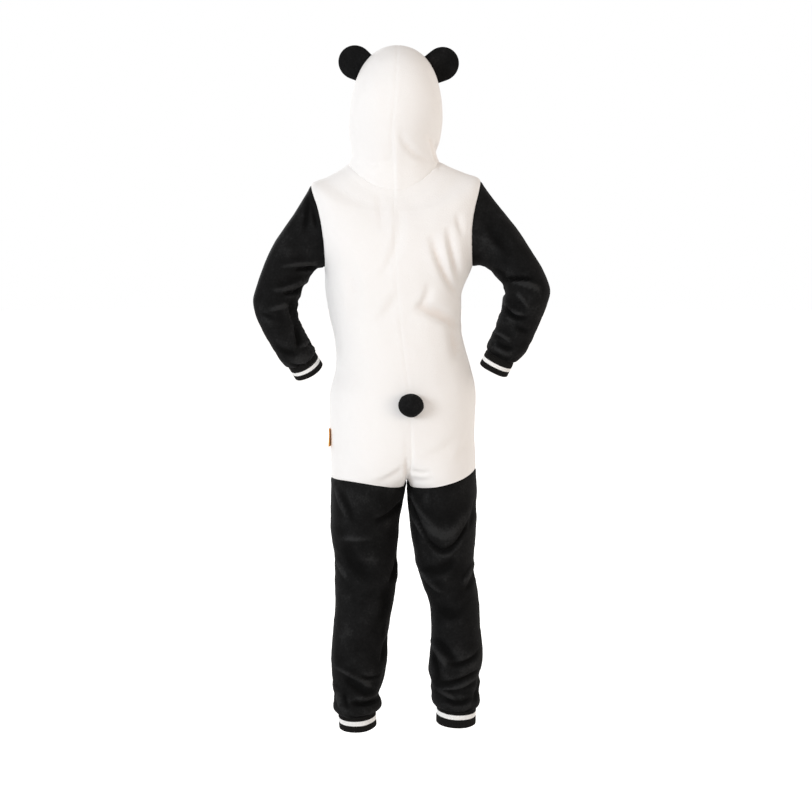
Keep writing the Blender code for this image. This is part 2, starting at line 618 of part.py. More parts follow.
def zip_rows(grid):
    """The rows of a front panel beside the zip, from its foot up to just below the neck seam.

    Two more rows lie between the last closed one and the first open one.
    """
    at, _ = torso_rows()
    first = np.searchsorted(at, ZIP_OPEN_AT)
    foot = [grid[:, first - 1] + (grid[:, first] - grid[:, first - 1]) * t for t in ZIP_FOOT]
    rows = np.concatenate([np.stack(foot, axis=1), grid[:, first:]], axis=1)
    rows[:, -1] = rows[:, -2] + (rows[:, -1] - rows[:, -2]) * ZIP_TOP
    return rows


def zip_line(panels, normals):
    """(middle, unit vector to the wearer's left, unit vector out) along the zip, from its foot up."""
    left, right = zip_rows(panels["front_left"])[0], zip_rows(panels["front_right"])[0]
    sideways = left - right
    sideways[0] = sideways[1]
    sideways /= np.linalg.norm(sideways, axis=1, keepdims=True)
    out = zip_rows(normals["front_left"])[0] + zip_rows(normals["front_right"])[0]
    out -= sideways * (out * sideways).sum(axis=1, keepdims=True)
    out /= np.linalg.norm(out, axis=1, keepdims=True)
    return (left + right) / 2, sideways, out


def build_zip(parts, panels, normals):
    middle, sideways, out = zip_line(panels, normals)
    chain = middle + sideways * np.array([-CHAIN_HALF, CHAIN_HALF])[:, None, None]
    sink = np.full((len(middle), 1), CHAIN_SINK)
    sink[: len(ZIP_FOOT)] = FLEECE + 2 * SEAM_GAP
    face = chain - out * sink
    add(parts, "zip_chain", wall("zip_chain", face, face - out * CHAIN_THICK), "white_tape")
    for word in ("left", "right"):
        name = f"zip_tape_{word}"
        edge, inwards = zip_rows(panels[f"front_{word}"])[:2]
        first, second = zip_rows(normals[f"front_{word}"])[:2]
        width = np.linalg.norm(inwards - edge, axis=1, keepdims=True)
        gap = np.abs(((edge - middle) * sideways).sum(axis=1, keepdims=True))
        reach = (np.array([TAPE_INNER, TAPE_OUTER])[:, None, None] - gap) / width
        lines = edge + (inwards - edge) * reach
        under = first + (second - first) * np.clip(reach, 0, 1)
        face = lines - under * (FLEECE + SEAM_GAP + TAPE_EASE)
        add(parts, name, wall(name, face, face - under * TAPE_THICK), "white_tape")


def frame_matrix(origin, sideways, out):
    """Places a trimming: its x to the wearer's left, its y inwards, its z up along the zip."""
    up = np.cross(sideways, -out)
    up /= np.linalg.norm(up)
    turn = Matrix((sideways, -out, up)).transposed().to_4x4()
    return Matrix.Translation(Vector(origin) * MM) @ turn @ Matrix.Scale(MM, 4)


def ring_plate(name, outer, inner, near, far):
    """A plate between y = near and far, with a hole; outer and inner have as many corners."""
    count = len(outer)
    points = [(x, y, z) for y in (near, far) for ring in (outer, inner) for x, z in ring]
    faces = []
    for i in range(count):
        j = (i + 1) % count
        o, n = (i, j), (i + count, j + count)
        back = 2 * count
        faces.append((o[0], o[1], n[1], n[0]))
        faces.append((o[0] + back, n[0] + back, n[1] + back, o[1] + back))
        faces.append((o[0], o[0] + back, o[1] + back, o[1]))
        faces.append((n[0], n[1], n[1] + back, n[0] + back))
    return closed_mesh(name, points, faces)


def closed_mesh(name, points, faces):
    mesh = bpy.data.meshes.new(name)
    mesh.from_pydata([tuple(map(float, p)) for p in points], [], [tuple(map(int, f)) for f in faces])
    form = bmesh.new()
    form.from_mesh(mesh)
    bmesh.ops.recalc_face_normals(form, faces=form.faces)
    form.to_mesh(mesh)
    form.free()
    mesh.shade_smooth()
    mesh.set_sharp_from_angle(angle=math.radians(TRIM_CREASE))
    return mesh


def oblong(across, low, high, corner, count=5):
    """(x, z) corners of a rounded oblong, from its lower right round to the left."""
    half = across / 2
    centres = ((half - corner, low + corner), (half - corner, high - corner),
               (corner - half, high - corner), (corner - half, low + corner))
    points = []
    for k, (x, z) in enumerate(centres):
        for a in np.linspace(-90, 0, count) + 90 * k:
            turn = math.radians(a)
            points.append((x + corner * math.cos(turn), z + corner * math.sin(turn)))
    return points


def build_slider(parts, panels, normals):
    middle, sideways, out = (line[len(ZIP_FOOT) :] for line in zip_line(panels, normals))
    at, _ = torso_rows()
    at = at[at >= ZIP_OPEN_AT]
    lines = (middle, sideways, out)
    spot = [np.array([np.interp(SLIDER_AT, at, line[:, k]) for k in range(3)]) for line in lines]
    spot[1] /= np.linalg.norm(spot[1])
    spot[2] -= spot[1] * (spot[1] @ spot[2])
    spot[2] /= np.linalg.norm(spot[2])
    place = frame_matrix(*spot)

    across, along, proud = SLIDER
    back = CHAIN_SINK - SEAM_GAP
    front = back - proud
    width, length, thick, hollow = BRIDGE
    half = length / 2
    inside = half - BRIDGE_WALL
    foot, roof, top = front + BRIDGE_SINK, front - hollow, front - hollow - thick
    arch = [(half, foot), (half, top + BRIDGE_CORNER), (half - BRIDGE_CORNER, top),
            (BRIDGE_CORNER - half, top), (-half, top + BRIDGE_CORNER), (-half, foot)]
    under = [(inside, foot), (inside, roof), (inside - BRIDGE_SINK, roof),
             (BRIDGE_SINK - inside, roof), (-inside, roof), (-inside, foot)]
    body = bmesh.new()
    bmesh.ops.create_cube(body, size=1.0, matrix=Matrix.Diagonal((across, proud, along, 1)))
    bmesh.ops.translate(body, verts=body.verts, vec=(0, (front + back) / 2, 0))
    bmesh.ops.bevel(body, geom=body.edges[:], offset=SLIDER_ROUND, segments=2, affect="EDGES", profile=0.5)
    mesh = bpy.data.meshes.new("zip_slider")
    body.to_mesh(mesh)
    body.free()
    slider = add(parts, "zip_slider", mesh, "zip_metal")
    slider.matrix_world = place

    loop = bmesh.new()
    sides = (-width / 2, width / 2)
    points = [[loop.verts.new((x, y, z)) for z, y in ring] for x in sides for ring in (arch, under)]
    low_out, low_in, high_out, high_in = points
    for i in range(5):
        loop.faces.new((low_out[i], low_out[i + 1], low_in[i + 1], low_in[i]))
        loop.faces.new((high_out[i], high_in[i], high_in[i + 1], high_out[i + 1]))
        loop.faces.new((low_out[i], high_out[i], high_out[i + 1], low_out[i + 1]))
        loop.faces.new((low_in[i], low_in[i + 1], high_in[i + 1], high_in[i]))
    for i in (0, 5):
        loop.faces.new((low_out[i], low_in[i], high_in[i], high_out[i]))
    bmesh.ops.recalc_face_normals(loop, faces=loop.faces)
    bridge_mesh = bpy.data.meshes.new("bridge")
    loop.to_mesh(bridge_mesh)
    loop.free()
    bridge = bpy.data.objects.new("bridge", bridge_mesh)
    parts.objects.link(bridge)
    bridge.matrix_world = place
    bridge.hide_render = True
    bridge.hide_viewport = True
    join = slider.modifiers.new("Bridge", "BOOLEAN")
    join.operation = "UNION"
    join.solver = "EXACT"
    join.object = bridge

    # The pull hangs from the bridge by the bar above its slot; the bar is the hinge.
    across, along, thick = PULL
    slot_across, slot_along, bar = PULL_SLOT
    hinge = Vector((0, front - hollow + PULL_EASE + thick / 2, bar_height()))
    outer = oblong(across, bar / 2 - along, bar / 2, PULL_CORNER)
    inner = oblong(slot_across, -bar / 2 - slot_along, -bar / 2, SLOT_CORNER)
    mesh = ring_plate("zip_pull", outer, inner, -thick / 2, thick / 2)
    pull = add(parts, "zip_pull", mesh, "zip_metal")
    pull.matrix_world = place @ Matrix.Translation(hinge)


def bar_height():
    """Height of the hinge over the middle of the slider: the bar rests low in the bridge."""
    return BRIDGE_WALL - BRIDGE[1] / 2 + PULL_SLOT[2] / 2 + PULL_DROP


def build_ears(parts):
    for word, side, base_from, base_to, centre, radius, arc_from, arc_to in EARS:
        turn = np.linspace(base_from, base_to, EAR_COLUMNS + 1)
        base = hood_ring(side, 0 * turn + EAR_AT, turn)
        ahead = hood_ring(side, 0 * turn + EAR_AT + 1, turn) - base
        run = np.gradient(base, axis=0)
        out = np.cross(run, ahead) * side
        out /= np.linalg.norm(out, axis=1, keepdims=True)
        out *= np.sign(out[:, :1]) * side
        base = base + out * EAR_GAP
        plane = np.cross(base[-1] - base[0], out[len(out) // 2])
        plane /= np.linalg.norm(plane)
        plane *= np.sign(plane[1])
        across = (base[-1] - base[0]) / np.linalg.norm(base[-1] - base[0])
        up = np.cross(plane, across)
        up *= np.sign(up @ out[len(out) // 2])
        middle = (base[0] + base[-1]) / 2 + up * centre
        angle = np.radians(np.linspace(arc_from, arc_to, EAR_COLUMNS + 1))
        rim = middle + radius * (across * np.cos(angle)[:, None] + up * np.sin(angle)[:, None])
        flat = base - plane * ((base - middle) @ plane)[:, None]
        rise = np.linspace(0, 1, EAR_ROWS + 1)
        sheet = flat[:, None] + (rim - flat)[:, None] * rise[None, :, None]
        u = np.linspace(0, 1, EAR_COLUMNS + 1)[:, None]
        puff = np.sqrt(np.clip(1 - (2 * u - 1) ** EAR_SWELL, 0, 1)) * np.sqrt(1 - EAR_TAPER * rise[None] ** 2)
        thick = EAR_RIM + (EAR_THICK - EAR_RIM) * puff
        for face, sign in (("back", 1), ("front", -1)):
            name = f"ear_{face}_{word}"
            seam = sheet + plane * sign * SEAM_GAP / 2
            outer = sheet + plane * sign * thick[..., None]
            add(parts, name, wall(name, outer, seam), "black_fleece")


def build_tail(parts, panels):
    """A stuffed ball, flat where it's sewn to the centre seam of the seat."""
    seam = panels["back_left"][0]
    spot, above = (
        Vector([np.interp(z, seam[:, 2], seam[:, k]) for k in range(3)])
        for z in (TAIL_HEIGHT, TAIL_HEIGHT + TAIL_HALF[2])
    )
    turn = math.radians(TAIL_TURN)
    side = Vector((math.cos(turn), math.sin(turn), 0))
    up = (above - spot).normalized()
    out = up.cross(side).normalized()
    up = side.cross(out)
    form = bmesh.new()
    bmesh.ops.create_uvsphere(form, u_segments=16, v_segments=10, radius=1.0)
    mesh = bpy.data.meshes.new("tail")
    for vertex in form.verts:
        x, y, z = (vertex.co[i] * TAIL_HALF[i] for i in range(3))
        vertex.co = Vector((x, max(y, -TAIL_FLAT), z))
    form.to_mesh(mesh)
    form.free()
    mesh.shade_smooth()
    tail = add(parts, "tail", mesh, "black_fleece")
    axes = Matrix((side, out, up)).transposed()
    place = Matrix.Translation((spot + out * (TAIL_FLAT + TAIL_LIFT)) * MM) @ axes.to_4x4()
    tail.matrix_world = place @ Matrix.Scale(MM, 4)


def box(collection, name, size, centre, finish, bevel):
    """A block with rounded edges; sizes in millimetres."""
    form = bmesh.new()
    bmesh.ops.create_cube(form, size=1.0, matrix=Matrix.Diagonal((*(s * MM for s in size), 1)))
    mesh = bpy.data.meshes.new(name)
    form.to_mesh(mesh)
    form.free()
    obj = add(collection, name, mesh, finish)
    obj.location = Vector(centre) * MM
    edge = obj.modifiers.new("Round", "BEVEL")
    edge.width = bevel * MM
    edge.segments = 2
    return obj


def build_label(parts, panels):
    at, _ = torso_rows()
    seam = panels["back_left"][-1]
    spot = Vector([np.interp(LABEL_AT, at, seam[:, k]) for k in range(3)])
    turn = math.radians(LABEL_TURN)
    out = Vector((math.cos(turn), math.sin(turn), 0))
    centre = spot + out * (LABEL_OFF + LABEL_LONG / 2)
    size = (LABEL_LONG, LABEL_THICK, 2 * LABEL_HALF)
    label = box(parts, "side_label", size, centre, "orange_ribbon", LABEL_ROUND)
    label.rotation_euler = (0, 0, turn)


def build_cloth(parts):
    panels, normals = folded(cloth_panels())
    for name, grid in panels.items():
        out = normals[name]
        if name.startswith(("sleeve", "leg")):
            side = 1 if name.endswith("left") else -1
            _, _, _, axis = cuff_frame(cuff_ring(panels, name.split("_")[0], side))
            out[:, -1] = squared_end(out[:, -1], axis)
        inner = drawn_in(grid - out * FLEECE, out, is_tube(name))
        outer = drawn_in(grid, out, is_tube(name))
        if name.startswith(("back", "front", "leg")):
            clear = grid[1, 1] - grid[0, 0]
            clear *= CROTCH_CLEAR / np.linalg.norm(clear)
            outer[0, 0] += clear
            inner[0, 0] += clear
        dark = name.startswith(("sleeve", "leg"))
        mesh = wall(name, outer, inner, is_tube(name))
        add(parts, name, mesh, "black_fleece" if dark else "white_fleece")
    return panels, normals


def cuff_ring(panels, limb, side):
    """The ring of points at the end of a limb, once round."""
    word = "left" if side > 0 else "right"
    if limb == "sleeve":
        return panels[f"sleeve_{word}"][:, -1]
    back = panels[f"leg_back_{word}"][:, -1]
    front = panels[f"leg_front_{word}"][::-1, -1]
    centre = (back[0] + back[-1]) / 2
    first, second = back[0] - centre, (back[len(back) // 2] - front[len(front) // 2]) / 2
    turn = np.linspace(0, 2 * math.pi, 16, endpoint=False)[:, None]
    return centre + first * np.cos(turn) + second * np.sin(turn)


def build_cuffs(parts, panels):
    down = np.array([0.0, 0.0, -1.0])
    for side, word in ((1, "left"), (-1, "right")):
        wrist = cuff(f"wrist_cuff_{word}", cuff_ring(panels, "sleeve", side), WRIST_CUFF, WRIST_RIBS, down)
        add(parts, f"wrist_cuff_{word}", wrist, "black_rib")
        ankle = cuff(f"ankle_cuff_{word}", cuff_ring(panels, "leg", side), ANKLE_CUFF, ANKLE_RIBS, down)
        add(parts, f"ankle_cuff_{word}", ankle, "black_rib")


def main():
    clear_scene()
    parts = bpy.data.collections.new("panda_onesie")
    bpy.context.scene.collection.children.link(parts)
    panels, normals = build_cloth(parts)
    build_cuffs(parts, panels)
    build_zip(parts, panels, normals)
    build_slider(parts, panels, normals)
    build_ears(parts)
    build_tail(parts, panels)
    build_label(parts, panels)


main()
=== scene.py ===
import math

import bmesh
import bpy
import numpy as np
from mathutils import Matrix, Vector


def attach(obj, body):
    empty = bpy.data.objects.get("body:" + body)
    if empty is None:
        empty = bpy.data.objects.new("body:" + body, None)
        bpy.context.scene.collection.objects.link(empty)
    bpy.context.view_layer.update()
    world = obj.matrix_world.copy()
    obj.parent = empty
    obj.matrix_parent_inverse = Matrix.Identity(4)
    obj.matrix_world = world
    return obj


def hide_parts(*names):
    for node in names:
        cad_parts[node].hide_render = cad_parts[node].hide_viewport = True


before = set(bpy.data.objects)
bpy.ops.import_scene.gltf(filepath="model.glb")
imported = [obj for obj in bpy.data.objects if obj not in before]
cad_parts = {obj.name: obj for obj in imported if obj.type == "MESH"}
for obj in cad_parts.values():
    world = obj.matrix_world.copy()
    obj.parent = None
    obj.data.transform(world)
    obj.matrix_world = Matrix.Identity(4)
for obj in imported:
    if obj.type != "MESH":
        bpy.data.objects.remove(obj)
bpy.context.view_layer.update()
print("frame loaded:", len(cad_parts), "nodes")

view = {"place": (-0.016, 3.6, -0.010), "aim": (-0.016, 0.0, -0.403), "lens": 87.7, "clip": 60.0}
studio = {
    "floorHeight": -1.06, "floorSize": 14.0, "floorColour": (0.78, 0.775, 0.77), "floorRough": 0.9, "floorGlow": 0.66,
    "floorPoints": 96, "skyColour": (1.0, 0.945, 0.905), "skyStrength": 0.58, "backdrop": 1.0,
}
lampNames = ("name", "place", "aim", "size", "watts", "colour")
lamps = (
    ("keyLight", (3.6, 4.0, 0.8), (0.0, 0.0, -0.55), 2.0, 137.0, (0.94, 1.0, 1.055)),
    ("edgeLight", (-3.2, 2.4, 0.2), (0.0, 0.0, -0.50), 2.0, 33.0, (1.0, 0.86, 0.72)),
    ("frontKey", (2.4, -4.4, 1.3), (0.0, 0.0, -0.50), 2.0, 124.0, (0.95, 1.0, 1.02)),
    ("frontFill", (-3.2, -2.2, 0.2), (0.0, 0.0, -0.50), 2.0, 26.0, (1.0, 0.96, 0.92)),
)


def feed(tree, node, inputs):
    # Each input named is linked to the socket given, or set to the value given
    for key, value in inputs.items():
        if isinstance(value, bpy.types.NodeSocket):
            tree.links.new(value, node.inputs[key])
        else:
            node.inputs[key].default_value = value


def addNode(tree, kind, inputs):
    # A new shader node of the kind named, its inputs fed
    made = tree.nodes.new("ShaderNode" + kind)
    feed(tree, made, inputs)
    return made


def maths(tree, operation, *values):
    # The result of one Math node; its values are numbers or sockets
    made = addNode(tree, "Math", dict(enumerate(values)))
    made.operation = operation
    return made.outputs[0]


def newFinish(name):
    # (material, its nodes, its Principled shader)
    made = bpy.data.materials.new(name)
    made.use_nodes = True
    return made, made.node_tree, made.node_tree.nodes["Principled BSDF"]


def aimAt(obj, spot, aim):
    # Moves a camera or lamp to its spot and turns its -Z towards the aim
    obj.location = spot
    obj.rotation_euler = (Vector(aim) - Vector(spot)).to_track_quat("-Z", "Y").to_euler()


def buildCamera(scene):
    camera = bpy.data.objects.new("camera", bpy.data.cameras.new("camera"))
    scene.collection.objects.link(camera)
    camera.data.lens = view["lens"]
    camera.data.clip_end = view["clip"]
    aimAt(camera, view["place"], view["aim"])
    scene.camera = camera


def buildLamps(scene):
    # a round lamp for each row
    for row in lamps:
        lamp = dict(zip(lampNames, row))
        data = bpy.data.lights.new(lamp["name"], "AREA")
        data.shape = "DISK"
        data.size = lamp["size"]
        data.energy = lamp["watts"]
        data.color = lamp["colour"]
        obj = bpy.data.objects.new(lamp["name"], data)
        scene.collection.objects.link(obj)
        aimAt(obj, lamp["place"], lamp["aim"])


def buildSky(scene):
    # a white backdrop for the camera, a softer and warmer light on the cloth
    world = bpy.data.worlds.new("studio")
    world.use_nodes = True
    tree = world.node_tree
    light = tree.nodes["Background"]
    feed(tree, light, {"Color": (*studio["skyColour"], 1), "Strength": studio["skyStrength"]})
    backdrop = addNode(tree, "Background", {"Color": (1, 1, 1, 1), "Strength": studio["backdrop"]})
    seen = addNode(tree, "LightPath", {}).outputs["Is Camera Ray"]
    chosen = addNode(tree, "MixShader", {"Fac": seen, 1: light.outputs[0], 2: backdrop.outputs[0]})
    feed(tree, tree.nodes["World Output"], {"Surface": chosen.outputs["Shader"]})
    scene.world = world


def buildFloor(scene):
    # a wide round floor that glows a little to the camera, so that it meets the backdrop
    turn = np.linspace(0, 2 * math.pi, studio["floorPoints"], endpoint=False)
    rim = np.stack([np.cos(turn), np.sin(turn), 0 * turn], axis=1) * studio["floorSize"]
    rim[:, 2] = studio["floorHeight"]
    surface = bpy.data.meshes.new("floor")
    surface.from_pydata(rim.tolist(), [], [list(range(len(rim)))])
    floor = bpy.data.objects.new("floor", surface)
    scene.collection.objects.link(floor)
    paint, tree, shader = newFinish("floorPaint")
    seen = addNode(tree, "LightPath", {}).outputs["Is Camera Ray"]
    feed(tree, shader, {
        "Base Color": (*studio["floorColour"], 1), "Roughness": studio["floorRough"], "Emission Color": (1, 1, 1, 1),
        "Emission Strength": maths(tree, "MULTIPLY", seen, studio["floorGlow"]),
    })
    surface.materials.append(paint)


def buildStudio():
    scene = bpy.context.scene
    buildCamera(scene)
    buildLamps(scene)
    buildSky(scene)
    buildFloor(scene)
    scene.view_settings.view_transform = "Standard"
    print("studio built")


buildStudio()
# The garment in millimetres: rings round the torso from crotch to neck, sections along the sleeves
# and legs, and rings of the hood from neck to face.
torsoNames = (
    "at", "zBack", "zSide", "zFront", "halfLeft", "halfRight", "back", "front",
    "lobe", "bulge", "midX", "midY", "turn", "tilt",
)
torsoRings = (
    (0, -548, -524, -548, 139, 126, 84, 78, 1.00, 1.00, -17, 2, 3, -8),         # crotch seam
    (24, -529, -500, -531, 138, 127, 93, 84, 0.72, 0.98, -16, 2, 5, -5),
    (60, -494, -464, -499, 137, 127, 101, 90, 0.36, 0.94, -14, 2, 7, -2),       # seat
    (110, -436, -418, -438, 136, 130, 104, 96, 0.08, 0.90, -12, 2, 7, 0),
    (150, -378, -376, -378, 133, 133, 100, 99, 0.00, 0.88, -10, 0, 7, 0),       # hips
    (195, -330, -330, -330, 119, 126, 91, 97, 0.00, 0.88, -7, -3, 6, 0),
    (233, -290, -290, -290, 118, 116, 85, 94, 0.00, 0.88, -5, -4, 4, 0),        # waist
    (288, -235, -235, -235, 125, 114, 85, 92, 0.00, 0.86, -2, -3, 2, 0),
    (333, -190, -190, -190, 129, 119, 90, 92, 0.00, 0.84, 1, 0, 1, 0),
    (374, -148, -148, -150, 130, 138, 94, 91, 0.00, 0.82, 2, 2, 0, -1),         # underarm
    (410, -121, -114, -128, 139, 150, 95, 88, 0.00, 0.80, 3, 2, 0, -2),
    (450, -91, -75, -106, 147, 156, 92, 84, 0.00, 0.80, 4, 1, 0, -3),
    (490, -69, -36, -87, 150, 157, 86, 80, 0.00, 0.80, 4, 0, 0, -3),
    (526, -50, 3, -72, 150, 155, 79, 76, 0.00, 0.82, 5, -2, 0, -4),             # shoulder tip
    (560, -35, 16, -60, 123, 128, 71, 73, 0.00, 0.88, 5, -5, 0, -4),
    (602, -9, 37, -45, 81, 80, 64, 70, 0.00, 0.95, 5, -8, 0, -2),               # neck seam
)
hangNames = ("at", "notch", "sag", "sagTilt")
hang = (
    (0, 9, -2, -5),
    (24, 4, -1, -3),
    (60, 0, 0, 0),
    (110, 0, 0, 0),
    (602, 0, 0, 0),
)
sleeveNames = ("at", "outerX", "outerZ", "innerX", "innerZ", "y", "depth", "lean")
sleeveLeft = (
    (0, 162, -2, 134, -147, 2, 54, 0),           # armhole
    (25, 185, -44, 142, -149, 3, 53, 0),
    (52, 205, -78, 149, -154, 8, 49, 2),
    (80, 226, -113, 157, -165, 18, 45, 4),
    (106, 241, -146, 165, -181, 29, 42, 5),
    (130, 252, -178, 173, -194, 40, 41, 6),
    (150, 259, -205, 177, -206, 46, 41, 8),      # elbow
    (168, 256, -229, 177, -219, 44, 40, 10),
    (192, 246, -256, 178, -240, 36, 37, 13),
    (217, 234, -281, 168, -261, 25, 35, 16),
    (240, 222, -303, 160, -281, 13, 34, 19),
    (260, 209, -322, 152, -297, 1, 32, 21),
    (272, 201, -330, 151, -302, -7, 28, 22),     # cuff seam
)
sleeveRight = (
    (0, -151, 4, -136, -147, 2, 54, 0),
    (25, -173, -26, -147, -146, 3, 53, 0),
    (52, -197, -56, -157, -148, 8, 49, 1),
    (80, -222, -88, -169, -155, 18, 45, 2),
    (106, -244, -122, -179, -167, 28, 42, 3),
    (130, -264, -156, -189, -180, 38, 41, 4),
    (150, -275, -189, -193, -194, 44, 41, 5),
    (168, -270, -214, -190, -210, 43, 40, 6),
    (192, -261, -240, -185, -229, 38, 37, 7),
    (217, -251, -265, -179, -250, 32, 36, 8),
    (240, -241, -288, -171, -270, 26, 35, 9),
    (260, -228, -308, -165, -288, 19, 32, 9),
    (273, -213, -321, -163, -297, 15, 28, 9),
)
legNames = ("z", "midX", "half", "midY", "back", "front", "lean", "roll")
legLeft = (
    (-540, 53, 69, 2, 84, 78, 0, 0),                   # crotch seam
    (-570, 55, 67, 3, 82, 77, 0, 0),
    (-605, 59, 64, 2, 76, 74, 0, 0),
    (-640, 59.5, 62.5, 0, 70, 70, 0, 0),
    (-678, 58, 58, -3, 62, 66, 0, 0),
    (-700, 57, 58, -4, 60, 64, 0, 0),                  # knee
    (-735, 59, 56, -4, 57, 60, 0, 0),
    (-775, 62, 53, -2, 56, 56, 0, 0),
    (-815, 68, 51, 3, 55, 52, 0, 0),
    (-859, 70, 52, 8, 54, 49, 0, 0),                   # calf
    (-900, 72, 49, 9, 50, 46, 0, 0),
    (-925, 75, 45, 9, 46, 43, 2, 1),
    (-938, 77, 41, 8, 43, 41, 4, 1.5),
    (-950, 75, 44, 7, 44, 42, 6, 2),
    (-962, 75, 43, 6, 42, 41, 7, 2.5),
    (-973, 75, 35, 5, 36, 36, 8, 3),                   # cuff seam
)
legRight = (
    (-540, -80, 63, 2, 84, 78, 0, 0),
    (-570, -82, 64, 3, 82, 77, 0, 0),
    (-605, -83, 62, 2, 76, 74, 0, 0),
    (-640, -84.5, 60, 0, 70, 70, 0, 0),
    (-670, -86, 56, -3, 62, 66, 0, 0),
    (-700, -89, 53, -4, 58, 63, 0, 0),
    (-735, -97, 50, -4, 54, 58, 0, 0),
    (-768, -105, 46, -2, 52, 53, 0, 0),
    (-813, -108, 45, 3, 50, 49, 0, 0),
    (-865, -109, 49, 7, 50, 47, 0, 0),
    (-885, -107, 49, 8, 49, 46, 0, 0),
    (-902, -106, 46, 8, 46, 44, 0, 0),
    (-918, -108, 45, 7, 45, 43, 1, 0.5),
    (-940, -108, 44, 6, 44, 42, 4, 2),
    (-954, -109, 42, 5, 42, 40, 5, 2.5),
    (-963, -110, 37, 5, 37, 37, 6, 3),
)
hoodNames = ("at", "seamY", "seamZ", "throatY", "throatZ", "half", "egg", "lift", "midX")
hoodRings = (
    (0, 56, -9, -78, -45, 80, 0.00, 64, 5),      # neck seam
    (42, 61, 33, -80, -41, 77, 0.06, 54, 6),
    (88, 82, 79, -82, -37, 76, 0.12, 44, 9),
    (136, 97, 128, -84, -33, 81, 0.16, 32, 6),
    (184, 97, 177, -86, -30, 84, 0.18, 20, 2),
    (232, 76, 220, -87, -27, 83, 0.20, 10, 0),
    (280, 37, 244, -88, -24, 80, 0.22, 4, -1),
    (329, -12, 247, -88, -21, 77, 0.24, 1, 0),
    (369, -50, 237, -88, -18, 73, 0.26, 0, 1),
    (395, -72, 225, -88, -16, 70, 0.26, 0, 2),   # face opening
)
cut = {
    "underarm": 374.0, "shoulderTip": 526.0, "armholeBite": 0.34, "crotchSpread": 0.3, "notchWide": 0.08,
    "zipEdge": 5.0, "zipClosed": 60.0, "zipOpen": 82.0, "zipCurve": 5,
    "throatSpread": 4.0, "throatCurve": 6, "eggEven": 0.44,
    "sleeveFade": 70.0, "legFade": 70.0, "hoodFade": 110.0,
    "wall": 2.3, "weld": 0.02, "weldShift": 0.237,
}
gridSizes = {
    "backColumns": 60, "frontColumns": 50, "armRows": 56, "sleeveRows": 112, "legRows": 150, "hoodRows": 128,
    "crowd": 0.6, "crowdLimb": 0.4,
    "lower": ((0, 60, 26), (60, 82, 10), (82, 150, 24), (150, 374, 84)), "yoke": 28,
}


def smoothCurve(table, names, at):
    # Cubic Hermite curve through every column of a table, its slopes taken from the rows beside
    rows = np.array(table, float)
    knots = rows[:, 0]
    if knots[0] > knots[-1]:
        rows, knots = rows[::-1], knots[::-1]
    slopes = np.gradient(rows, knots, axis=0)
    at = np.asarray(at, float)
    i = np.clip(np.searchsorted(knots, at, side="right") - 1, 0, len(knots) - 2)
    span = knots[i + 1] - knots[i]
    t = ((at - knots[i]) / span)[..., None]
    span = span[..., None]
    value = (
        (2 * t**3 - 3 * t**2 + 1) * rows[i] + (t**3 - 2 * t**2 + t) * span * slopes[i]
        + (3 * t**2 - 2 * t**3) * rows[i + 1] + (t**3 - t**2) * span * slopes[i + 1]
    )
    return dict(zip(names, np.moveaxis(value, -1, 0)))


def fade(at, until):
    # 1 at a seam, falling softly to 0: (1 - t)^2 (1 + 2t)
    t = np.clip(at / until, 0, 1)
    return (1 - t) ** 2 * (1 + 2 * t)


def bump(at, middle, wide):
    # A bell: the exponential of minus the square
    return np.exp(-(((at - middle) / wide) ** 2))


def unit(lines):
    # Each vector divided by its own length
    return lines / np.maximum(np.linalg.norm(lines, axis=-1, keepdims=True), 1e-9)


def pointsAt(at, where, line):
    # A line of points or directions, read at new places along it
    return np.stack([np.interp(at, where, line[:, c]) for c in range(3)], axis=-1)


def zipOpened(at):
    # 0 where the fronts are sewn together, rising evenly to 1 where the zip parts them
    return np.clip((at - cut["zipClosed"]) / (cut["zipOpen"] - cut["zipClosed"]), 0, 1)


def armholeAt(turn):
    # Height round the armhole: half a cosine from the underarm to the shoulder tip
    return cut["underarm"] + (cut["shoulderTip"] - cut["underarm"]) * (1 - np.cos(turn)) / 2


def torso(side, front, at, across):
    # Superellipse ring parted by "lobe" into two thighs; across runs from the centre seam to the side
    r = smoothCurve(torsoRings, torsoNames, at)
    half = r["halfLeft"] if side > 0 else r["halfRight"]
    lobe = np.clip(r["lobe"], 0, 1)
    start = np.arccos(lobe ** (1 / r["bulge"]))
    angle = start + (across + cut["crotchSpread"] * lobe * across * (1 - across)) * (math.pi - start)
    cosine, sine = np.cos(angle), np.abs(np.sin(angle))
    x = (lobe - np.sign(cosine) * np.abs(cosine) ** r["bulge"]) * half / (1 + lobe)
    y = sine ** r["bulge"] * np.where(front, -r["front"], r["back"])
    middle = np.where(front, r["zFront"], r["zBack"])
    z = middle + (r["zSide"] + side * r["tilt"] - middle) * np.sin(across * math.pi / 2) ** 2
    h = smoothCurve(hang, hangNames, at)
    z = z + h["notch"] * np.exp(-((across / cut["notchWide"]) ** 2))
    z = z - (h["sag"] + side * h["sagTilt"]) * np.sin(across * math.pi) ** 2
    if front:
        x = x + cut["zipEdge"] * zipOpened(at) * (1 - across) ** cut["zipCurve"]
    turn = np.radians(r["turn"])
    x, y = side * x * np.cos(turn) - y * np.sin(turn), side * x * np.sin(turn) + y * np.cos(turn)
    return np.stack([x + r["midX"], y + r["midY"], z], axis=-1)


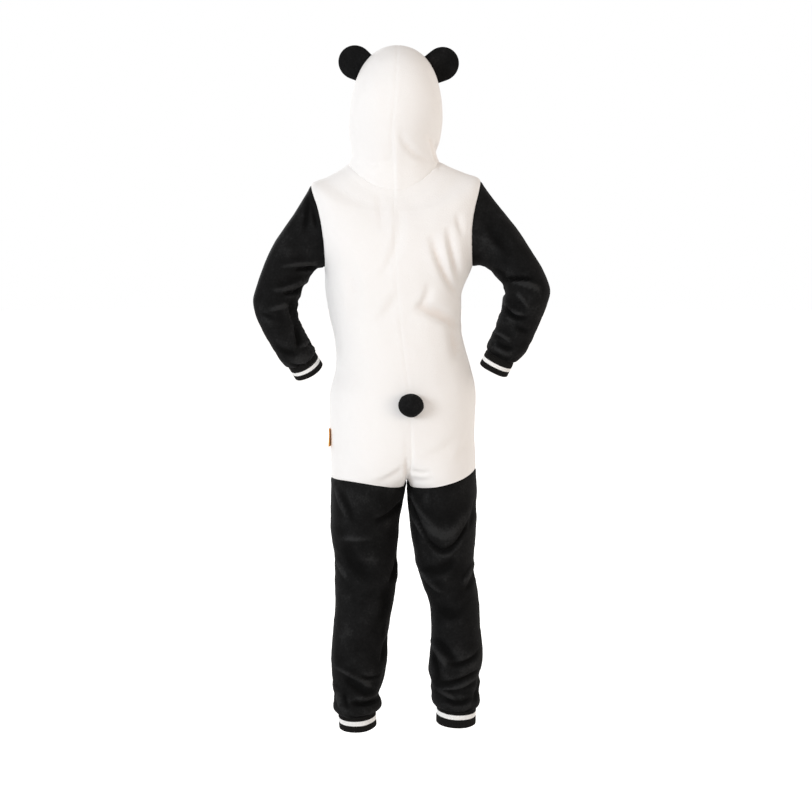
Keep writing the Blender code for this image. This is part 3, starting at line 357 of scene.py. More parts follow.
def torsoRows():
    # Places of the rows up a torso panel, and how far across the armhole lets each one reach
    at = [np.linspace(a, b, n, endpoint=False) for a, b, n in gridSizes["lower"]]
    turn = np.linspace(0, math.pi, gridSizes["armRows"], endpoint=False)
    at.append(armholeAt(turn))
    at.append(np.linspace(cut["shoulderTip"], torsoRings[-1][0], gridSizes["yoke"] + 1))
    at = np.concatenate(at)
    inside = np.clip((at - cut["underarm"]) / (cut["shoulderTip"] - cut["underarm"]), 0, 1)
    return at, 1 - cut["armholeBite"] * 2 * np.sqrt(inside * (1 - inside))


def torsoPanel(side, front):
    # The torso's surface over rows by columns, each row cut short where the armhole bites
    at, edge = torsoRows()
    columns = gridSizes["frontColumns"] if front else gridSizes["backColumns"]
    across = denser(columns, gridSizes["crowd"])[:, None] * edge[None, :]
    return torso(side, front, np.broadcast_to(at, across.shape), across)


def armhole(side, turn):
    # The armhole seam: turn 0 is the underarm, pi the shoulder tip, the back first
    at = armholeAt(turn)
    across = 1 - cut["armholeBite"] * np.abs(np.sin(turn))
    back, front = torso(side, False, at, across), torso(side, True, at, across)
    return np.where((turn <= math.pi)[..., None], back, front)


def sleeveRing(table, at, turn):
    # Ellipse between the outer and the inner edge, its depth leaning towards the hand
    r = smoothCurve(table, sleeveNames, at)
    outer = np.stack([r["outerX"], 0 * at, r["outerZ"]], axis=-1)
    inner = np.stack([r["innerX"], 0 * at, r["innerZ"]], axis=-1)
    middle = (outer + inner) / 2 + np.stack([0 * at, r["y"], 0 * at], axis=-1)
    half = (inner - outer) / 2
    along = np.stack([-half[..., 2], 0 * at, half[..., 0]], axis=-1)
    along *= -np.sign(along[..., 2:]) / np.linalg.norm(along, axis=-1, keepdims=True)
    lean = np.radians(r["lean"])[..., None]
    deep = (np.cos(lean) * np.array([0.0, 1.0, 0.0]) + np.sin(lean) * along) * r["depth"][..., None]
    return middle + half * np.cos(turn)[..., None] + deep * np.sin(turn)[..., None]


def sleevePanel(side):
    # The sleeve's rings, moved onto the armhole by an offset that fades out down the arm
    table = sleeveLeft if side > 0 else sleeveRight
    around = np.linspace(0, 2 * math.pi, 2 * gridSizes["armRows"] + 1)[:-1]
    at = table[-1][0] * denser(gridSizes["sleeveRows"], gridSizes["crowdLimb"])
    turn, at = np.meshgrid(around, at, indexing="ij")
    seam = armhole(side, turn) - sleeveRing(table, 0 * at, turn)
    return sleeveRing(table, at, turn) + seam * fade(at, cut["sleeveFade"])[..., None]


def legRing(side, table, front, z, across):
    # Half an ellipse: across runs from the inner leg seam to the outer one
    r = smoothCurve(table, legNames, z)
    angle = math.pi * across
    x = r["midX"] - side * r["half"] * np.cos(angle)
    y = r["midY"] + np.sin(angle) * (-r["front"] if front else r["back"])
    lowered = (y - r["midY"]) * np.tan(np.radians(r["lean"]))
    lowered = lowered + side * (x - r["midX"]) * np.tan(np.radians(r["roll"]))
    return np.stack([x, y, z - lowered], axis=-1)


def legPanel(side, front):
    # The leg's half rings, moved onto the torso's lowest ring by an offset that fades out below
    table = legLeft if side > 0 else legRight
    columns = gridSizes["frontColumns"] if front else gridSizes["backColumns"]
    top, bottom = table[0][0], table[-1][0]
    down = top + (bottom - top) * denser(gridSizes["legRows"], gridSizes["crowdLimb"])
    across, z = np.meshgrid(denser(columns, gridSizes["crowd"]), down, indexing="ij")
    seam = torso(side, front, 0 * z, across) - legRing(side, table, front, 0 * z + top, across)
    return legRing(side, table, front, z, across) + seam * fade(top - z, cut["legFade"])[..., None]


def hoodRing(side, at, turn):
    # Egg-shaped ring from the centre seam over the head (turn 0) down to the throat (pi)
    r = smoothCurve(hoodRings, hoodNames, at)
    wide = np.sin(turn) * (1 + r["egg"] * np.cos(turn)) / (1 + cut["eggEven"] * r["egg"] ** 2)
    up = (1 + np.cos(turn)) / 2
    spread = cut["zipEdge"] + cut["throatSpread"] * at / hoodRings[-1][0]
    x = wide * r["half"] + spread * (1 - up) ** cut["throatCurve"]
    y = r["throatY"] + (r["seamY"] - r["throatY"]) * up
    z = r["throatZ"] + (r["seamZ"] - r["throatZ"]) * up + r["lift"] * np.sin(turn) ** 2
    middle = hoodRings[0][-1] + (r["midX"] - hoodRings[0][-1]) * up
    return np.stack([middle + side * x, y, z], axis=-1)


def neckline(side, turn):
    # The torso's top ring: half a turn runs over the back, the other half over the front
    top = torsoRings[-1][0] + 0 * turn
    across = turn / (math.pi / 2)
    back = torso(side, False, top, np.clip(across, 0, 1))
    front = torso(side, True, top, np.clip(2 - across, 0, 1))
    return np.where((across <= 1)[..., None], back, front)


def hoodPanel(side):
    # The hood's rings, moved onto the neckline by an offset that fades out up the head
    behind = denser(gridSizes["backColumns"], gridSizes["crowd"])[:-1]
    before = 2 - denser(gridSizes["frontColumns"], gridSizes["crowd"])[::-1]
    around = np.concatenate([behind, before]) * math.pi / 2
    at = hoodRings[-1][0] * denser(gridSizes["hoodRows"], gridSizes["crowdLimb"])
    turn, at = np.meshgrid(around, at, indexing="ij")
    seam = neckline(side, turn) - hoodRing(side, 0 * at, turn)
    return hoodRing(side, at, turn) + seam * fade(at, cut["hoodFade"])[..., None]


def isTube(name):
    # a sleeve closes on itself round the arm; every other panel has two side edges
    return name.startswith("sleeve")


def facesOut(name):
    # 1 or -1, as the panel's two grid ways turn out or in
    sign = 1 if name.startswith(("front", "sleeve", "legBack")) else -1
    return sign if name.endswith("Left") else -sign


def sheetNormals(panels):
    # Unit normals of every grid, the mean of its faces, shared where two pieces are sewn together
    points, normals = [], []
    for name, grid in panels.items():
        g = np.concatenate([grid, grid[:1]]) if isTube(name) else grid
        face = unit(np.cross(g[1:, 1:] - g[:-1, :-1], g[:-1, 1:] - g[1:, :-1]) * facesOut(name))
        total = np.zeros_like(g)
        for du, dv in ((0, 0), (1, 0), (0, 1), (1, 1)):
            total[du : g.shape[0] - 1 + du, dv : g.shape[1] - 1 + dv] += face
        if isTube(name):
            total[0] += total[-1]
            total = total[:-1]
        points.append(grid.reshape(-1, 3))
        normals.append(unit(total).reshape(-1, 3))
    cells = np.round(np.concatenate(points) / cut["weld"] + cut["weldShift"])
    welded = np.unique(cells, axis=0, return_inverse=True)[1].reshape(-1)
    shared = np.zeros((welded.max() + 1, 3))
    np.add.at(shared, welded, np.concatenate(normals))
    shared = unit(shared)
    parts = np.split(welded, np.cumsum([len(p) for p in points])[:-1])
    return {name: shared[part].reshape(panels[name].shape) for name, part in zip(panels, parts)}


# Ridges (+) and troughs (-) of each side, between two points in millimetres: x across, z up,
# "bow" bends the line, "wide" is its half width, "height" its lift.
creaseNames = ("x1", "z1", "x2", "z2", "bow", "wide", "height")
backCreases = (
    # white back
    (-60, -87, -114, -208, -7, 9, -4.6),
    (-90, -73, -115, -183, -4, 8, -4.6),
    (-106, -49, -117, -92, -1, 7, -2.0),
    (-30, -215, -117, -257, 3, 13, -5.4),
    (-57, -172, -41, -222, 3, 9, -2.4),
    (-94, -247, -110, -315, 1, 12, -3.4),
    (-2, -34, 32, -169, 13, 10, -1.7),
    (-4, -183, 37, -247, 4, 12, -1.5),
    (35, -13, 26, -80, 1, 9, -1.0),
    (90, -116, 85, -257, 8, 14, -1.2),
    (-19, -424, -17, -545, 0, 8, -0.8),
    (-17, -484, -17, -556, 0, 4.5, -2.4),
    (-15, -500, 38, -532, 3, 8, -2.2),
    (-116, -443, -41, -489, 6, 13, -1.3),
    (-130, -443, -105, -493, 5, 9, -1.4),
    (-19, -509, -62, -512, -4, 5, -2.0),
    (-19, -528, -66, -526, -3, 6, -1.3),
    (102, -475, 45, -522, -12, 13, -1.0),
    # hood
    (0, 105, 0, -40, 0, 10, 1.0),
    (-4, 88, -72, 41, -13, 8, -2.2),
    (79, 39, 5, 43, -5, 8, -0.9),
    (-54, 92, -76, 22, 3, 7, -3.4),
    (44, 217, 19, 106, 9, 14, -0.6),
    # left sleeve
    (159, -21, 168, -88, 1, 5, -2.4),
    (152, -35, 143, -81, -1, 4, -2.0),
    (209, -147, 141, -141, 1, 4, 2.8),
    (181, -152, 141, -149, 0, 4, -4.0),
    (224, -188, 159, -166, -7, 5, 3.4),
    (202, -195, 157, -175, -5, 4, -4.0),
    (191, -202, 179, -252, -1, 8, -5.5),
    (231, -221, 191, -212, -2, 5, 2.2),
    (241, -229, 217, -239, 0, 4, -2.0),
    (185, -246, 178, -296, 2, 5, -4.0),
    (181, -293, 154, -275, -3, 4, 2.6),
    (165, -279, 147, -301, 0, 5, -3.0),
    (219, -287, 176, -305, -5, 6, -2.0),
    (198, -319, 147, -320, -8, 4, -2.6),
    # right sleeve
    (-186, -170, -243, -168, 1, 4, -5.0),
    (-204, -173, -257, -188, 3, 5, 3.2),
    (-191, -200, -229, -230, -11, 4, 3.0),
    (-195, -212, -234, -237, -12, 5, -4.0),
    (-211, -191, -234, -223, 2, 4, 2.2),
    (-172, -264, -205, -282, 3, 4, 2.8),
    (-178, -282, -209, -295, -3, 5, -3.6),
    (-210, -254, -237, -263, -1, 5, -2.4),
    (-174, -149, -197, -170, 1, 5, -2.6),
    (-164, -297, -204, -315, -2, 5, -2.2),
    (-159, -67, -205, -127, -5, 9, -1.4),
    # left leg
    (112, -546, 90, -600, -1, 4, 2.2),
    (101, -549, 78, -611, 0, 7, -1.8),
    (-12, -568, 42, -605, 6, 6, -3.6),
    (110, -640, 42, -636, 0, 6, 1.8),
    (96, -651, 49, -710, -9, 14, -3.0),
    (115, -677, 88, -721, -1, 4, 2.6),
    (-1, -670, 15, -729, 3, 5, -4.5),
    (24, -733, 31, -800, 4, 9, -2.2),
    (17, -789, 26, -837, 1, 4, 2.2),
    (19, -826, 30, -875, 0, 5, -4.0),
    (117, -880, 39, -923, 5, 4, 3.2),
    (97, -900, 43, -938, -1, 7, -3.2),
    (68, -893, 32, -897, -4, 4, -3.0),
    (87, -945, 26, -943, -5, 4, -4.5),
    (83, -935, 32, -932, -4, 5, 2.4),
    (109, -927, 103, -961, -3, 4, 1.8),
    (98, -925, 90, -961, -2, 4, -2.2),
    (94, -972, 39, -967, -6, 4, -2.0),
    # right leg
    (-21, -553, -65, -611, -5, 4, 2.4),
    (-25, -594, -67, -648, -5, 4, 2.4),
    (-23, -564, -145, -564, -97, 6, -4.5),
    (-30, -575, -135, -571, -57, 13, 2.0),
    (-142, -570, -128, -624, 3, 5, -3.6),
    (-41, -699, -107, -677, -11, 10, -3.2),
    (-43, -705, -83, -743, -3, 4, 3.0),
    (-145, -689, -116, -729, 0, 4, 2.8),
    (-147, -700, -122, -740, 3, 5, -3.0),
    (-71, -764, -118, -782, -9, 11, -2.0),
    (-60, -834, -91, -877, -1, 4, 3.2),
    (-71, -827, -107, -871, 0, 7, -3.4),
    (-64, -853, -75, -909, 2, 6, -3.0),
    (-153, -849, -89, -871, 9, 5, -3.6),
    (-65, -920, -153, -896, -9, 4, 3.0),
    (-78, -911, -151, -886, -4, 4, -3.4),
    (-67, -923, -108, -942, 3, 4, 2.4),
    (-86, -940, -141, -936, -10, 5, -2.6),
    (-152, -903, -139, -948, 3, 5, -3.0),
    (-78, -965, -141, -959, -8, 4, -2.0),
)
frontCreases = (
    # white front
    (-30, -62, -96, -160, 8, 11, -3.5),
    (40, -66, 104, -156, -8, 11, -3.5),
    (-70, -60, -120, -118, 5, 8, -4.0),
    (78, -62, 122, -124, -5, 8, -3.6),
    (-122, -262, -30, -306, -10, 12, -5.0),
    (-116, -290, -40, -352, -9, 11, -3.6),
    (108, -272, 26, -318, 10, 12, -5.0),
    (112, -306, 40, -356, 8, 11, -3.2),
    (-26, -180, -34, -262, 5, 10, -2.4),
    (22, -210, 34, -300, -6, 10, -2.2),
    (-112, -446, -36, -506, -10, 13, -3.6),
    (90, -448, 16, -508, 10, 13, -3.6),
    (-60, -400, -20, -420, 5, 12, 2.0),
    # left sleeve, front and side
    (160, -186, 228, -176, -8, 8, -5.0),
    (164, -206, 234, -204, 7, 7, -4.5),
    (166, -226, 228, -232, -8, 7, -4.0),
    (160, -262, 214, -268, -6, 8, -3.6),
    (152, -290, 200, -300, 6, 7, -3.0),
    (176, -60, 204, -120, 6, 9, -2.5),
    (150, -120, 196, -140, 8, 7, -3.0),
    # right sleeve
    (-180, -176, -250, -166, -7, 8, -5.0),
    (-176, -198, -254, -196, 7, 7, -4.5),
    (-178, -222, -246, -226, -7, 7, -4.0),
    (-172, -258, -228, -264, -6, 8, -3.6),
    (-168, -284, -220, -290, 6, 7, -3.0),
    (-176, -50, -212, -112, -6, 9, -2.5),
    (-160, -132, -206, -146, -7, 7, -3.0),
    # legs, front
    (8, -586, 108, -604, 10, 10, -4.0),
    (20, -560, 70, -640, -12, 9, 2.4),
    (-30, -588, -138, -604, -10, 10, -4.0),
    (-46, -566, -92, -640, 12, 9, 2.4),
    (12, -708, 112, -702, -12, 9, -4.5),
    (20, -742, 108, -752, 9, 9, -3.2),
    (-46, -712, -144, -702, 12, 9, -4.5),
    (-58, -752, -146, -744, -9, 9, -3.2),
    (24, -850, 112, -872, 8, 9, -3.0),
    (26, -896, 120, -906, -9, 8, -4.5),
    (30, -924, 118, -920, 6, 6, -3.6),
    (34, -946, 112, -950, 4, 6, -3.4),
    (-66, -850, -152, -862, -8, 9, -3.0),
    (-62, -892, -154, -900, 8, 8, -4.5),
    (-68, -918, -152, -914, -6, 6, -3.6),
    (-70, -942, -146, -944, -4, 6, -3.4),
)
# whiteRelief and blackRelief are the fold heights in millimetres at which the painted shade in hollows and the
# painted highlight on ridges are full; noiseShare is the waves' share in them
fold = {
    "hat": 0.5, "hatWide": 2.3, "steep": 1.3, "slack": 0.85, "whiteLift": 1.35, "blackLift": 1.45,
    "whiteRelief": 7.0, "blackRelief": 2.6, "noiseShare": 0.6, "endPower": 0.8, "facingSteep": 2, "facingMiddle": 0.5,
}
waves = {
    "broad": 0.7, "broadCell": (46, 46, 70), "small": 0.35, "smallCell": (19, 19, 26),
    "legEven": 0.4, "ankle": 1.5, "ankleAt": -925, "ankleWide": 42, "knee": 0.5, "kneeAt": -705, "kneeWide": 55,
    "legTopFade": 50, "legEndFade": 14, "legBend": 14, "legBendCell": (50, 50, 60), "legCell": (52, 52, 15),
    "legFineCell": (30, 30, 8), "legLongCell": (16, 16, 50), "fineShare": 0.5, "longShare": 0.6,
    "armEven": 0.35, "elbow": 1.3, "elbowAt": 165, "elbowWide": 62, "cuff": 1.2, "cuffAt": 250, "cuffWide": 22,
    "armTopFade": 40, "armEndFade": 10, "armRadius": 38, "armBend": 10, "armBendCell": (44, 44, 44),
    "armCell": (40, 40, 13), "armFineCell": (24, 24, 7),
    "gather": 0.8, "gatherLong": 26, "gatherCell": (7, 7, 90), "puff": 1.6, "puffAt": 11, "puffWide": 9,
}
# Depth and half width of the groove at each kind of seam, and its share of swell and pucker. The neck
# seam has no groove: the cloth is filled out there.
grooves = {"dip": (0.9, 1.8, 1.0), "middle": (0.3, 2.6, 0.4), "neck": (0.0, 2.0, 0.1)}
seam = {
    "swell": 0.45, "swellAt": 6.0, "swellWide": 4.0, "pucker": 0.35, "puckerWide": 8.0, "puckerCell": (7, 7, 7),
    "neckFill": 2.3, "neckFillWide": 13.0, "yokeFill": 2.8, "yokeFillAt": 27.0, "yokeFillWide": 16.0,
    "yokeFillFade": 45.0, "edgeRoll": 1.1, "edgeWide": 1.6, "stitchDip": 0.7, "stitchWide": 1.3,
    "zipStitch": 6.0, "zipAway": 40.0, "hemStitch": 18.0, "hemSwell": 0.6, "allowance": 1.0, "allowanceWide": 6.0,
}


def valueNoise(points, cell, seed):
    # Smooth noise from -1 to 1: hashed values at the corners of cells, blended by 3t^2 - 2t^3
    q = points / np.array(cell, float) + 100.0 + 17.3 * seed
    base = np.floor(q).astype(np.int64)
    t = q - base
    t = t * t * (3 - 2 * t)
    total = np.zeros(points.shape[:-1])
    for corner in np.ndindex(2, 2, 2):
        c = base + np.array(corner)
        h = (c[..., 0] * 73856093) ^ (c[..., 1] * 19349663) ^ (c[..., 2] * 83492791) ^ (seed * 2654435761)
        h = ((h ^ (h >> 13)) * 1274126177) & 0xFFFFFFFF
        h = ((h ^ (h >> 15)) * 2246822519) & 0xFFFFFFFF
        value = (h ^ (h >> 16)) / 0xFFFFFFFF * 2 - 1
        total += value * np.prod(np.where(corner, t, 1 - t), axis=-1)
    return total


def creaseHeight(points, normals):
    # Each fold: a bell across its bowed line, steep on one side and slack on the other, with a lower,
    # wider one taken off; it dies out at its ends and where the cloth turns away from its side
    height = np.zeros(points.shape[:-1])
    for outwardY, rows in ((1, backCreases), (-1, frontCreases)):
        facing = np.clip(normals[..., 1] * outwardY * fold["facingSteep"] + fold["facingMiddle"], 0, 1)
        for row in rows:
            f = dict(zip(creaseNames, row))
            start = np.array([f["x1"], f["z1"]], float)
            run = np.array([f["x2"], f["z2"]], float) - start
            length = np.linalg.norm(run)
            run /= length
            offset = points[..., [0, 2]] - start
            along = (offset @ run) / length
            beside = offset[..., 0] * run[1] - offset[..., 1] * run[0] - f["bow"] * 4 * along * (1 - along)
            q = beside / f["wide"] * np.where(beside < 0, fold["steep"], fold["slack"])
            shape = (1 + fold["hat"]) * np.exp(-q * q) - fold["hat"] * np.exp(-((q / fold["hatWide"]) ** 2))
            ends = np.sin(math.pi * np.clip(along, 0, 1)) ** fold["endPower"]
            height += f["height"] * shape * ends * facing * facing * (3 - 2 * facing)
    return height


def borderDistance(grid, tube):
    # Millimetres along the cloth from each point to the borders: start and end of both grid ways
    across = np.linalg.norm(np.diff(grid, axis=0), axis=-1)
    along = np.linalg.norm(np.diff(grid, axis=1), axis=-1)
    zeroRow = np.zeros((1, grid.shape[1]))
    zeroColumn = np.zeros((grid.shape[0], 1))
    u = np.concatenate([zeroRow, np.cumsum(across, axis=0)])
    v = np.concatenate([zeroColumn, np.cumsum(along, axis=1)], axis=1)
    uEnd = u[-1:] + (np.linalg.norm(grid[0] - grid[-1], axis=-1) if tube else 0) - u
    return u, uEnd, v, v[:, -1:] - v


def wrinkles(name, grid):
    # soft uneven waves: everywhere a little, more across the limbs where the cloth is pushed up
    w = waves
    height = w["broad"] * valueNoise(grid, w["broadCell"], 1) + w["small"] * valueNoise(grid, w["smallCell"], 2)
    if name.startswith("leg"):
        z = grid[..., 2]
        amount = w["legEven"] + w["ankle"] * bump(z, w["ankleAt"], w["ankleWide"])
        amount = amount + w["knee"] * bump(z, w["kneeAt"], w["kneeWide"])
        end = z - (legLeft[-1][0] if name.endswith("Left") else legRight[-1][0])
        amount = amount * (1 - fade(legLeft[0][0] - z, w["legTopFade"])) * (1 - fade(end, w["legEndFade"]))
        bent = grid + w["legBend"] * np.stack([0 * z, 0 * z, valueNoise(grid, w["legBendCell"], 7)], axis=-1)
        fine = w["fineShare"] * valueNoise(bent, w["legFineCell"], 4)
        height += amount * (valueNoise(bent, w["legCell"], 3) + fine)
        height += w["longShare"] * amount * valueNoise(bent, w["legLongCell"], 8)
        height += w["gather"] * valueNoise(grid, w["gatherCell"], 12) * fade(end, w["gatherLong"])
        height += w["puff"] * bump(end, w["puffAt"], w["puffWide"])
    if name.startswith("sleeve"):
        count, rows = grid.shape[:2]
        long = (sleeveLeft if name.endswith("Left") else sleeveRight)[-1][0]
        around = np.linspace(0, 2 * math.pi, count, endpoint=False)
        turn, at = np.meshgrid(around, long * denser(rows - 1, gridSizes["crowdLimb"]), indexing="ij")
        inner = (1 + np.cos(turn)) / 2
        amount = w["armEven"] + w["elbow"] * inner * bump(at, w["elbowAt"], w["elbowWide"])
        amount = amount + w["cuff"] * bump(at, w["cuffAt"], w["cuffWide"])
        amount = amount * (1 - fade(at, w["armTopFade"])) * (1 - fade(long - at, w["armEndFade"]))
        tube = np.stack([w["armRadius"] * np.cos(turn), w["armRadius"] * np.sin(turn), at], axis=-1)
        pleats = valueNoise(tube, w["gatherCell"], 13)
        tube[..., 2] += w["armBend"] * valueNoise(tube, w["armBendCell"], 9)
        fine = w["fineShare"] * valueNoise(tube, w["armFineCell"], 6)
        height += amount * (valueNoise(tube, w["armCell"], 5) + fine)
        height += w["gather"] * pleats * fade(long - at, w["gatherLong"])
        height += w["puff"] * bump(long - at, w["puffAt"], w["puffWide"])
    return height


def seamRoll(name, grid):
    # at a seam the cloth dips in a groove, stands a little proud beside it and puckers along it;
    # at an open edge it is turned under, and a row of stitches draws it in
    u, uEnd, v, vEnd = borderDistance(grid, isTube(name))
    seams = [(u, "dip"), (uEnd, "dip"), (v, "dip"), (vEnd, "dip")]
    height = np.zeros(grid.shape[:2])
    if name.startswith("front"):
        opened = zipOpened(torsoRows()[0][None])
        seams[0] = (u + seam["zipAway"] * opened, "dip")
        height -= seam["edgeRoll"] * bump(u, 0, seam["edgeWide"]) * opened
        height -= seam["stitchDip"] * bump(u, seam["zipStitch"], seam["stitchWide"]) * opened
    if name.startswith(("front", "back")):
        seams[3] = (vEnd, "neck")
        height += seam["neckFill"] * bump(vEnd, 0, seam["neckFillWide"])
    if name.startswith("back"):
        middle = 1 - bump(uEnd, 0, seam["yokeFillFade"])
        height += seam["yokeFill"] * bump(vEnd, seam["yokeFillAt"], seam["yokeFillWide"]) * middle
    if name.startswith(("hood", "back")):
        seams[0] = (u, "middle")
    if name.startswith("hood"):
        seams[1:] = [(v, "neck")]
        height += seam["neckFill"] * bump(v, 0, seam["neckFillWide"])
        height -= seam["edgeRoll"] * (bump(vEnd, 0, seam["edgeWide"]) + bump(uEnd, 0, seam["edgeWide"]))
        height -= seam["stitchDip"] * bump(vEnd, seam["hemStitch"], seam["stitchWide"])
        height += seam["hemSwell"] * bump(vEnd, seam["hemStitch"] / 2, seam["hemStitch"] / 3)
    uneven = valueNoise(grid, seam["puckerCell"], 11)
    for distance, kind in seams:
        depth, wide, share = grooves[kind]
        height -= depth * bump(distance, 0, wide)
        height += share * seam["swell"] * bump(distance, seam["swellAt"], seam["swellWide"])
        height += share * seam["pucker"] * uneven * bump(distance, 0, seam["puckerWide"])
    return height


def turnedUnder(name, grid):
    # how much thicker the cloth is inside, where its edges are turned under and overlocked
    nearest = np.minimum.reduce(borderDistance(grid, isTube(name))[2 if isTube(name) else 0 :])
    return seam["allowance"] * np.exp(-((nearest / seam["allowanceWide"]) ** 6))


def denser(count, amount):
    # Places from 0 to 1 that crowd towards both ends: u - a sin(2 pi u) / (2 pi)
    u = np.linspace(0, 1, count + 1)
    return u - amount * np.sin(2 * math.pi * u) / (2 * math.pi)


def clothPanels():
    # every fleece piece as a grid of points, before folds
    panels = {}
    for side, word in ((1, "Left"), (-1, "Right")):
        panels["back" + word] = torsoPanel(side, False)
        panels["front" + word] = torsoPanel(side, True)
        panels["hood" + word] = hoodPanel(side)
        panels["sleeve" + word] = sleevePanel(side)
        panels["legBack" + word] = legPanel(side, False)
        panels["legFront" + word] = legPanel(side, True)
    return panels


def sheetForm(outer, inner, tube=False):
    # Points in metres and faces of a closed sheet between two grids of points in millimetres
    nu, nv = outer.shape[:2]
    index = np.arange(nu * nv).reshape(nu, nv)
    if tube:
        index = np.concatenate([index, index[:1]])
        rims = [index[:, 0], index[::-1, -1]]
    else:
        rims = [np.concatenate([index[:, 0], index[-1, 1:], index[-2::-1, -1], index[0, -2::-1]])]
    quads = np.stack([index[:-1, :-1], index[1:, :-1], index[1:, 1:], index[:-1, 1:]], axis=-1).reshape(-1, 4)
    rim = [np.stack([r[1:], r[:-1], r[:-1] + nu * nv, r[1:] + nu * nv], axis=-1) for r in rims]
    points = np.concatenate([outer.reshape(-1, 3), inner.reshape(-1, 3)]) * 0.001
    return points, np.concatenate([quads, quads[:, ::-1] + nu * nv, *rim])


def shellMesh(name, outer, inner, tube, sign, values):
    # A closed sheet; values holds, for each attribute, its value on the outer and on the inner grid
    points, faces = sheetForm(outer, inner, tube)
    shape = outer.shape[:2]
    spread = {
        key: np.concatenate([np.broadcast_to(x, shape).reshape(-1) for x in pair]) for key, pair in values.items()
    }
    return meshOf(name, points, faces if sign > 0 else faces[:, ::-1], spread)


def meshOf(name, points, faces, values=None, crease=60.0):
    # A smooth mesh, sharp where it bends more than the crease, with a number for each point per attribute
    made = bpy.data.meshes.new(name)
    made.from_pydata(points.tolist(), [], faces.tolist())
    for key, numbers in (values or {}).items():
        layer = made.attributes.new(key, "FLOAT", "POINT")
        layer.data.foreach_set("value", np.ascontiguousarray(numbers, dtype=np.float32))
    made.shade_smooth()
    made.set_sharp_from_angle(angle=math.radians(crease))
    return made


def place(name, made, finish, nodes=()):
    # A finished piece of the garment: its mesh, its material, its slot and the nodes that it stands for
    obj = bpy.data.objects.new(name, made)
    bpy.context.scene.collection.objects.link(obj)
    made.materials.clear()
    made.materials.append(finish)
    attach(obj, "garment")
    if nodes:
        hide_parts(*nodes)
    return obj


def nodeGroup(name, inputs, outputs):
    # (group, sockets of its inputs, node of its outputs); each input is a number with its usual value
    group = bpy.data.node_groups.new(name, "ShaderNodeTree")
    for key, value in inputs.items():
        made = group.interface.new_socket(name=key, in_out="INPUT", socket_type="NodeSocketFloat")
        made.default_value = value
    for key in outputs:
        group.interface.new_socket(name=key, in_out="OUTPUT", socket_type="NodeSocketFloat")
    return group, group.nodes.new("NodeGroupInput").outputs, group.nodes.new("NodeGroupOutput")


def grouped(tree, group, inputs):
    # The outputs of a node group, placed here with its own values
    made = tree.nodes.new("ShaderNodeGroup")
    made.node_tree = group
    feed(tree, made, inputs)
    return made.outputs


def objectPlace(tree):
    # Object coordinates
    return addNode(tree, "TexCoord", {}).outputs["Object"]


def noise(tree, vector, scale, **inputs):
    # Noise from 0 to 1 over the vector
    return addNode(tree, "TexNoise", {"Vector": vector, "Scale": scale, **inputs}).outputs["Fac"]


def attribute(tree, name):
    # A number that the mesh carries at each point
    made = addNode(tree, "Attribute", {})
    made.attribute_name = name
    return made.outputs["Fac"]


def rampOf(tree, factor, stops):
    # Colours blended from stop to stop, each stop a place from 0 to 1 and its colour
    made = addNode(tree, "ValToRGB", {"Fac": factor})
    elements = made.color_ramp.elements
    while len(elements) < len(stops):
        elements.new(0.5)
    for element, (where, colour) in zip(elements, stops):
        element.position = where
        element.color = (*colour, 1)
    return made.outputs["Color"]


def dress(tree, shader, colour, height, look):
    # The colour, the height as bump, and the numbers of a look, on a shader
    lift = addNode(tree, "Bump", {"Strength": look["bump"], "Distance": look["depth"], "Height": height})
    feed(tree, shader, {
        "Base Color": colour, "Normal": lift.outputs["Normal"], "Roughness": look["roughness"],
        "Specular IOR Level": look["specular"], "Sheen Weight": look.get("sheen", 0.0),
    })


def napGroup():
    # Short fibres, tufts and brushed patches, from three sizes of noise over Object coordinates
    tree, scales, result = nodeGroup("nap", {"Fibre": 900.0, "Tuft": 260.0, "Patch": 38.0}, ("Height", "Brushed"))
    where = objectPlace(tree)
    fibre, tuft, patch = (
        noise(tree, where, scales[key], Detail=detail, Roughness=rough)
        for key, detail, rough in (("Fibre", 3.0, 0.6), ("Tuft", 2.0, 0.5), ("Patch", 3.0, 0.55))
    )
    feed(tree, result, {
        "Height": maths(tree, "MULTIPLY_ADD", fibre, 0.6, tuft),
        "Brushed": maths(tree, "MULTIPLY_ADD", tuft, 0.35, maths(tree, "MULTIPLY", patch, 0.65)),
    })
    return tree


def pileCloth(name, look):
    # Brushed cloth: its colour runs over the brushed patches, and with the fold heights from painted shade in the
    # hollows to painted highlight on the ridges; its nap is bump
    made, tree, shader = newFinish(name)
    field = grouped(tree, nap, {key: look[key.lower()] for key in ("Fibre", "Tuft", "Patch")})
    grained = maths(tree, "MULTIPLY_ADD", field["Brushed"], look["grain"], 0.5 * (1 - look["grain"]))
    folded = maths(tree, "MULTIPLY_ADD", attribute(tree, "foldShade"), look["foldShadeShare"], grained)
    colour = rampOf(tree, folded, (
        (0.22, look["hollow"]), (0.42, look["dark"]), (0.58, look["pale"]), (0.80, look["ridgeHighlight"]),
    ))
    dress(tree, shader, colour, field["Height"], look)
    feed(tree, shader, {"Sheen Roughness": look["sheenRough"], "Sheen Tint": (*look["sheenTint"], 1)})
    return made


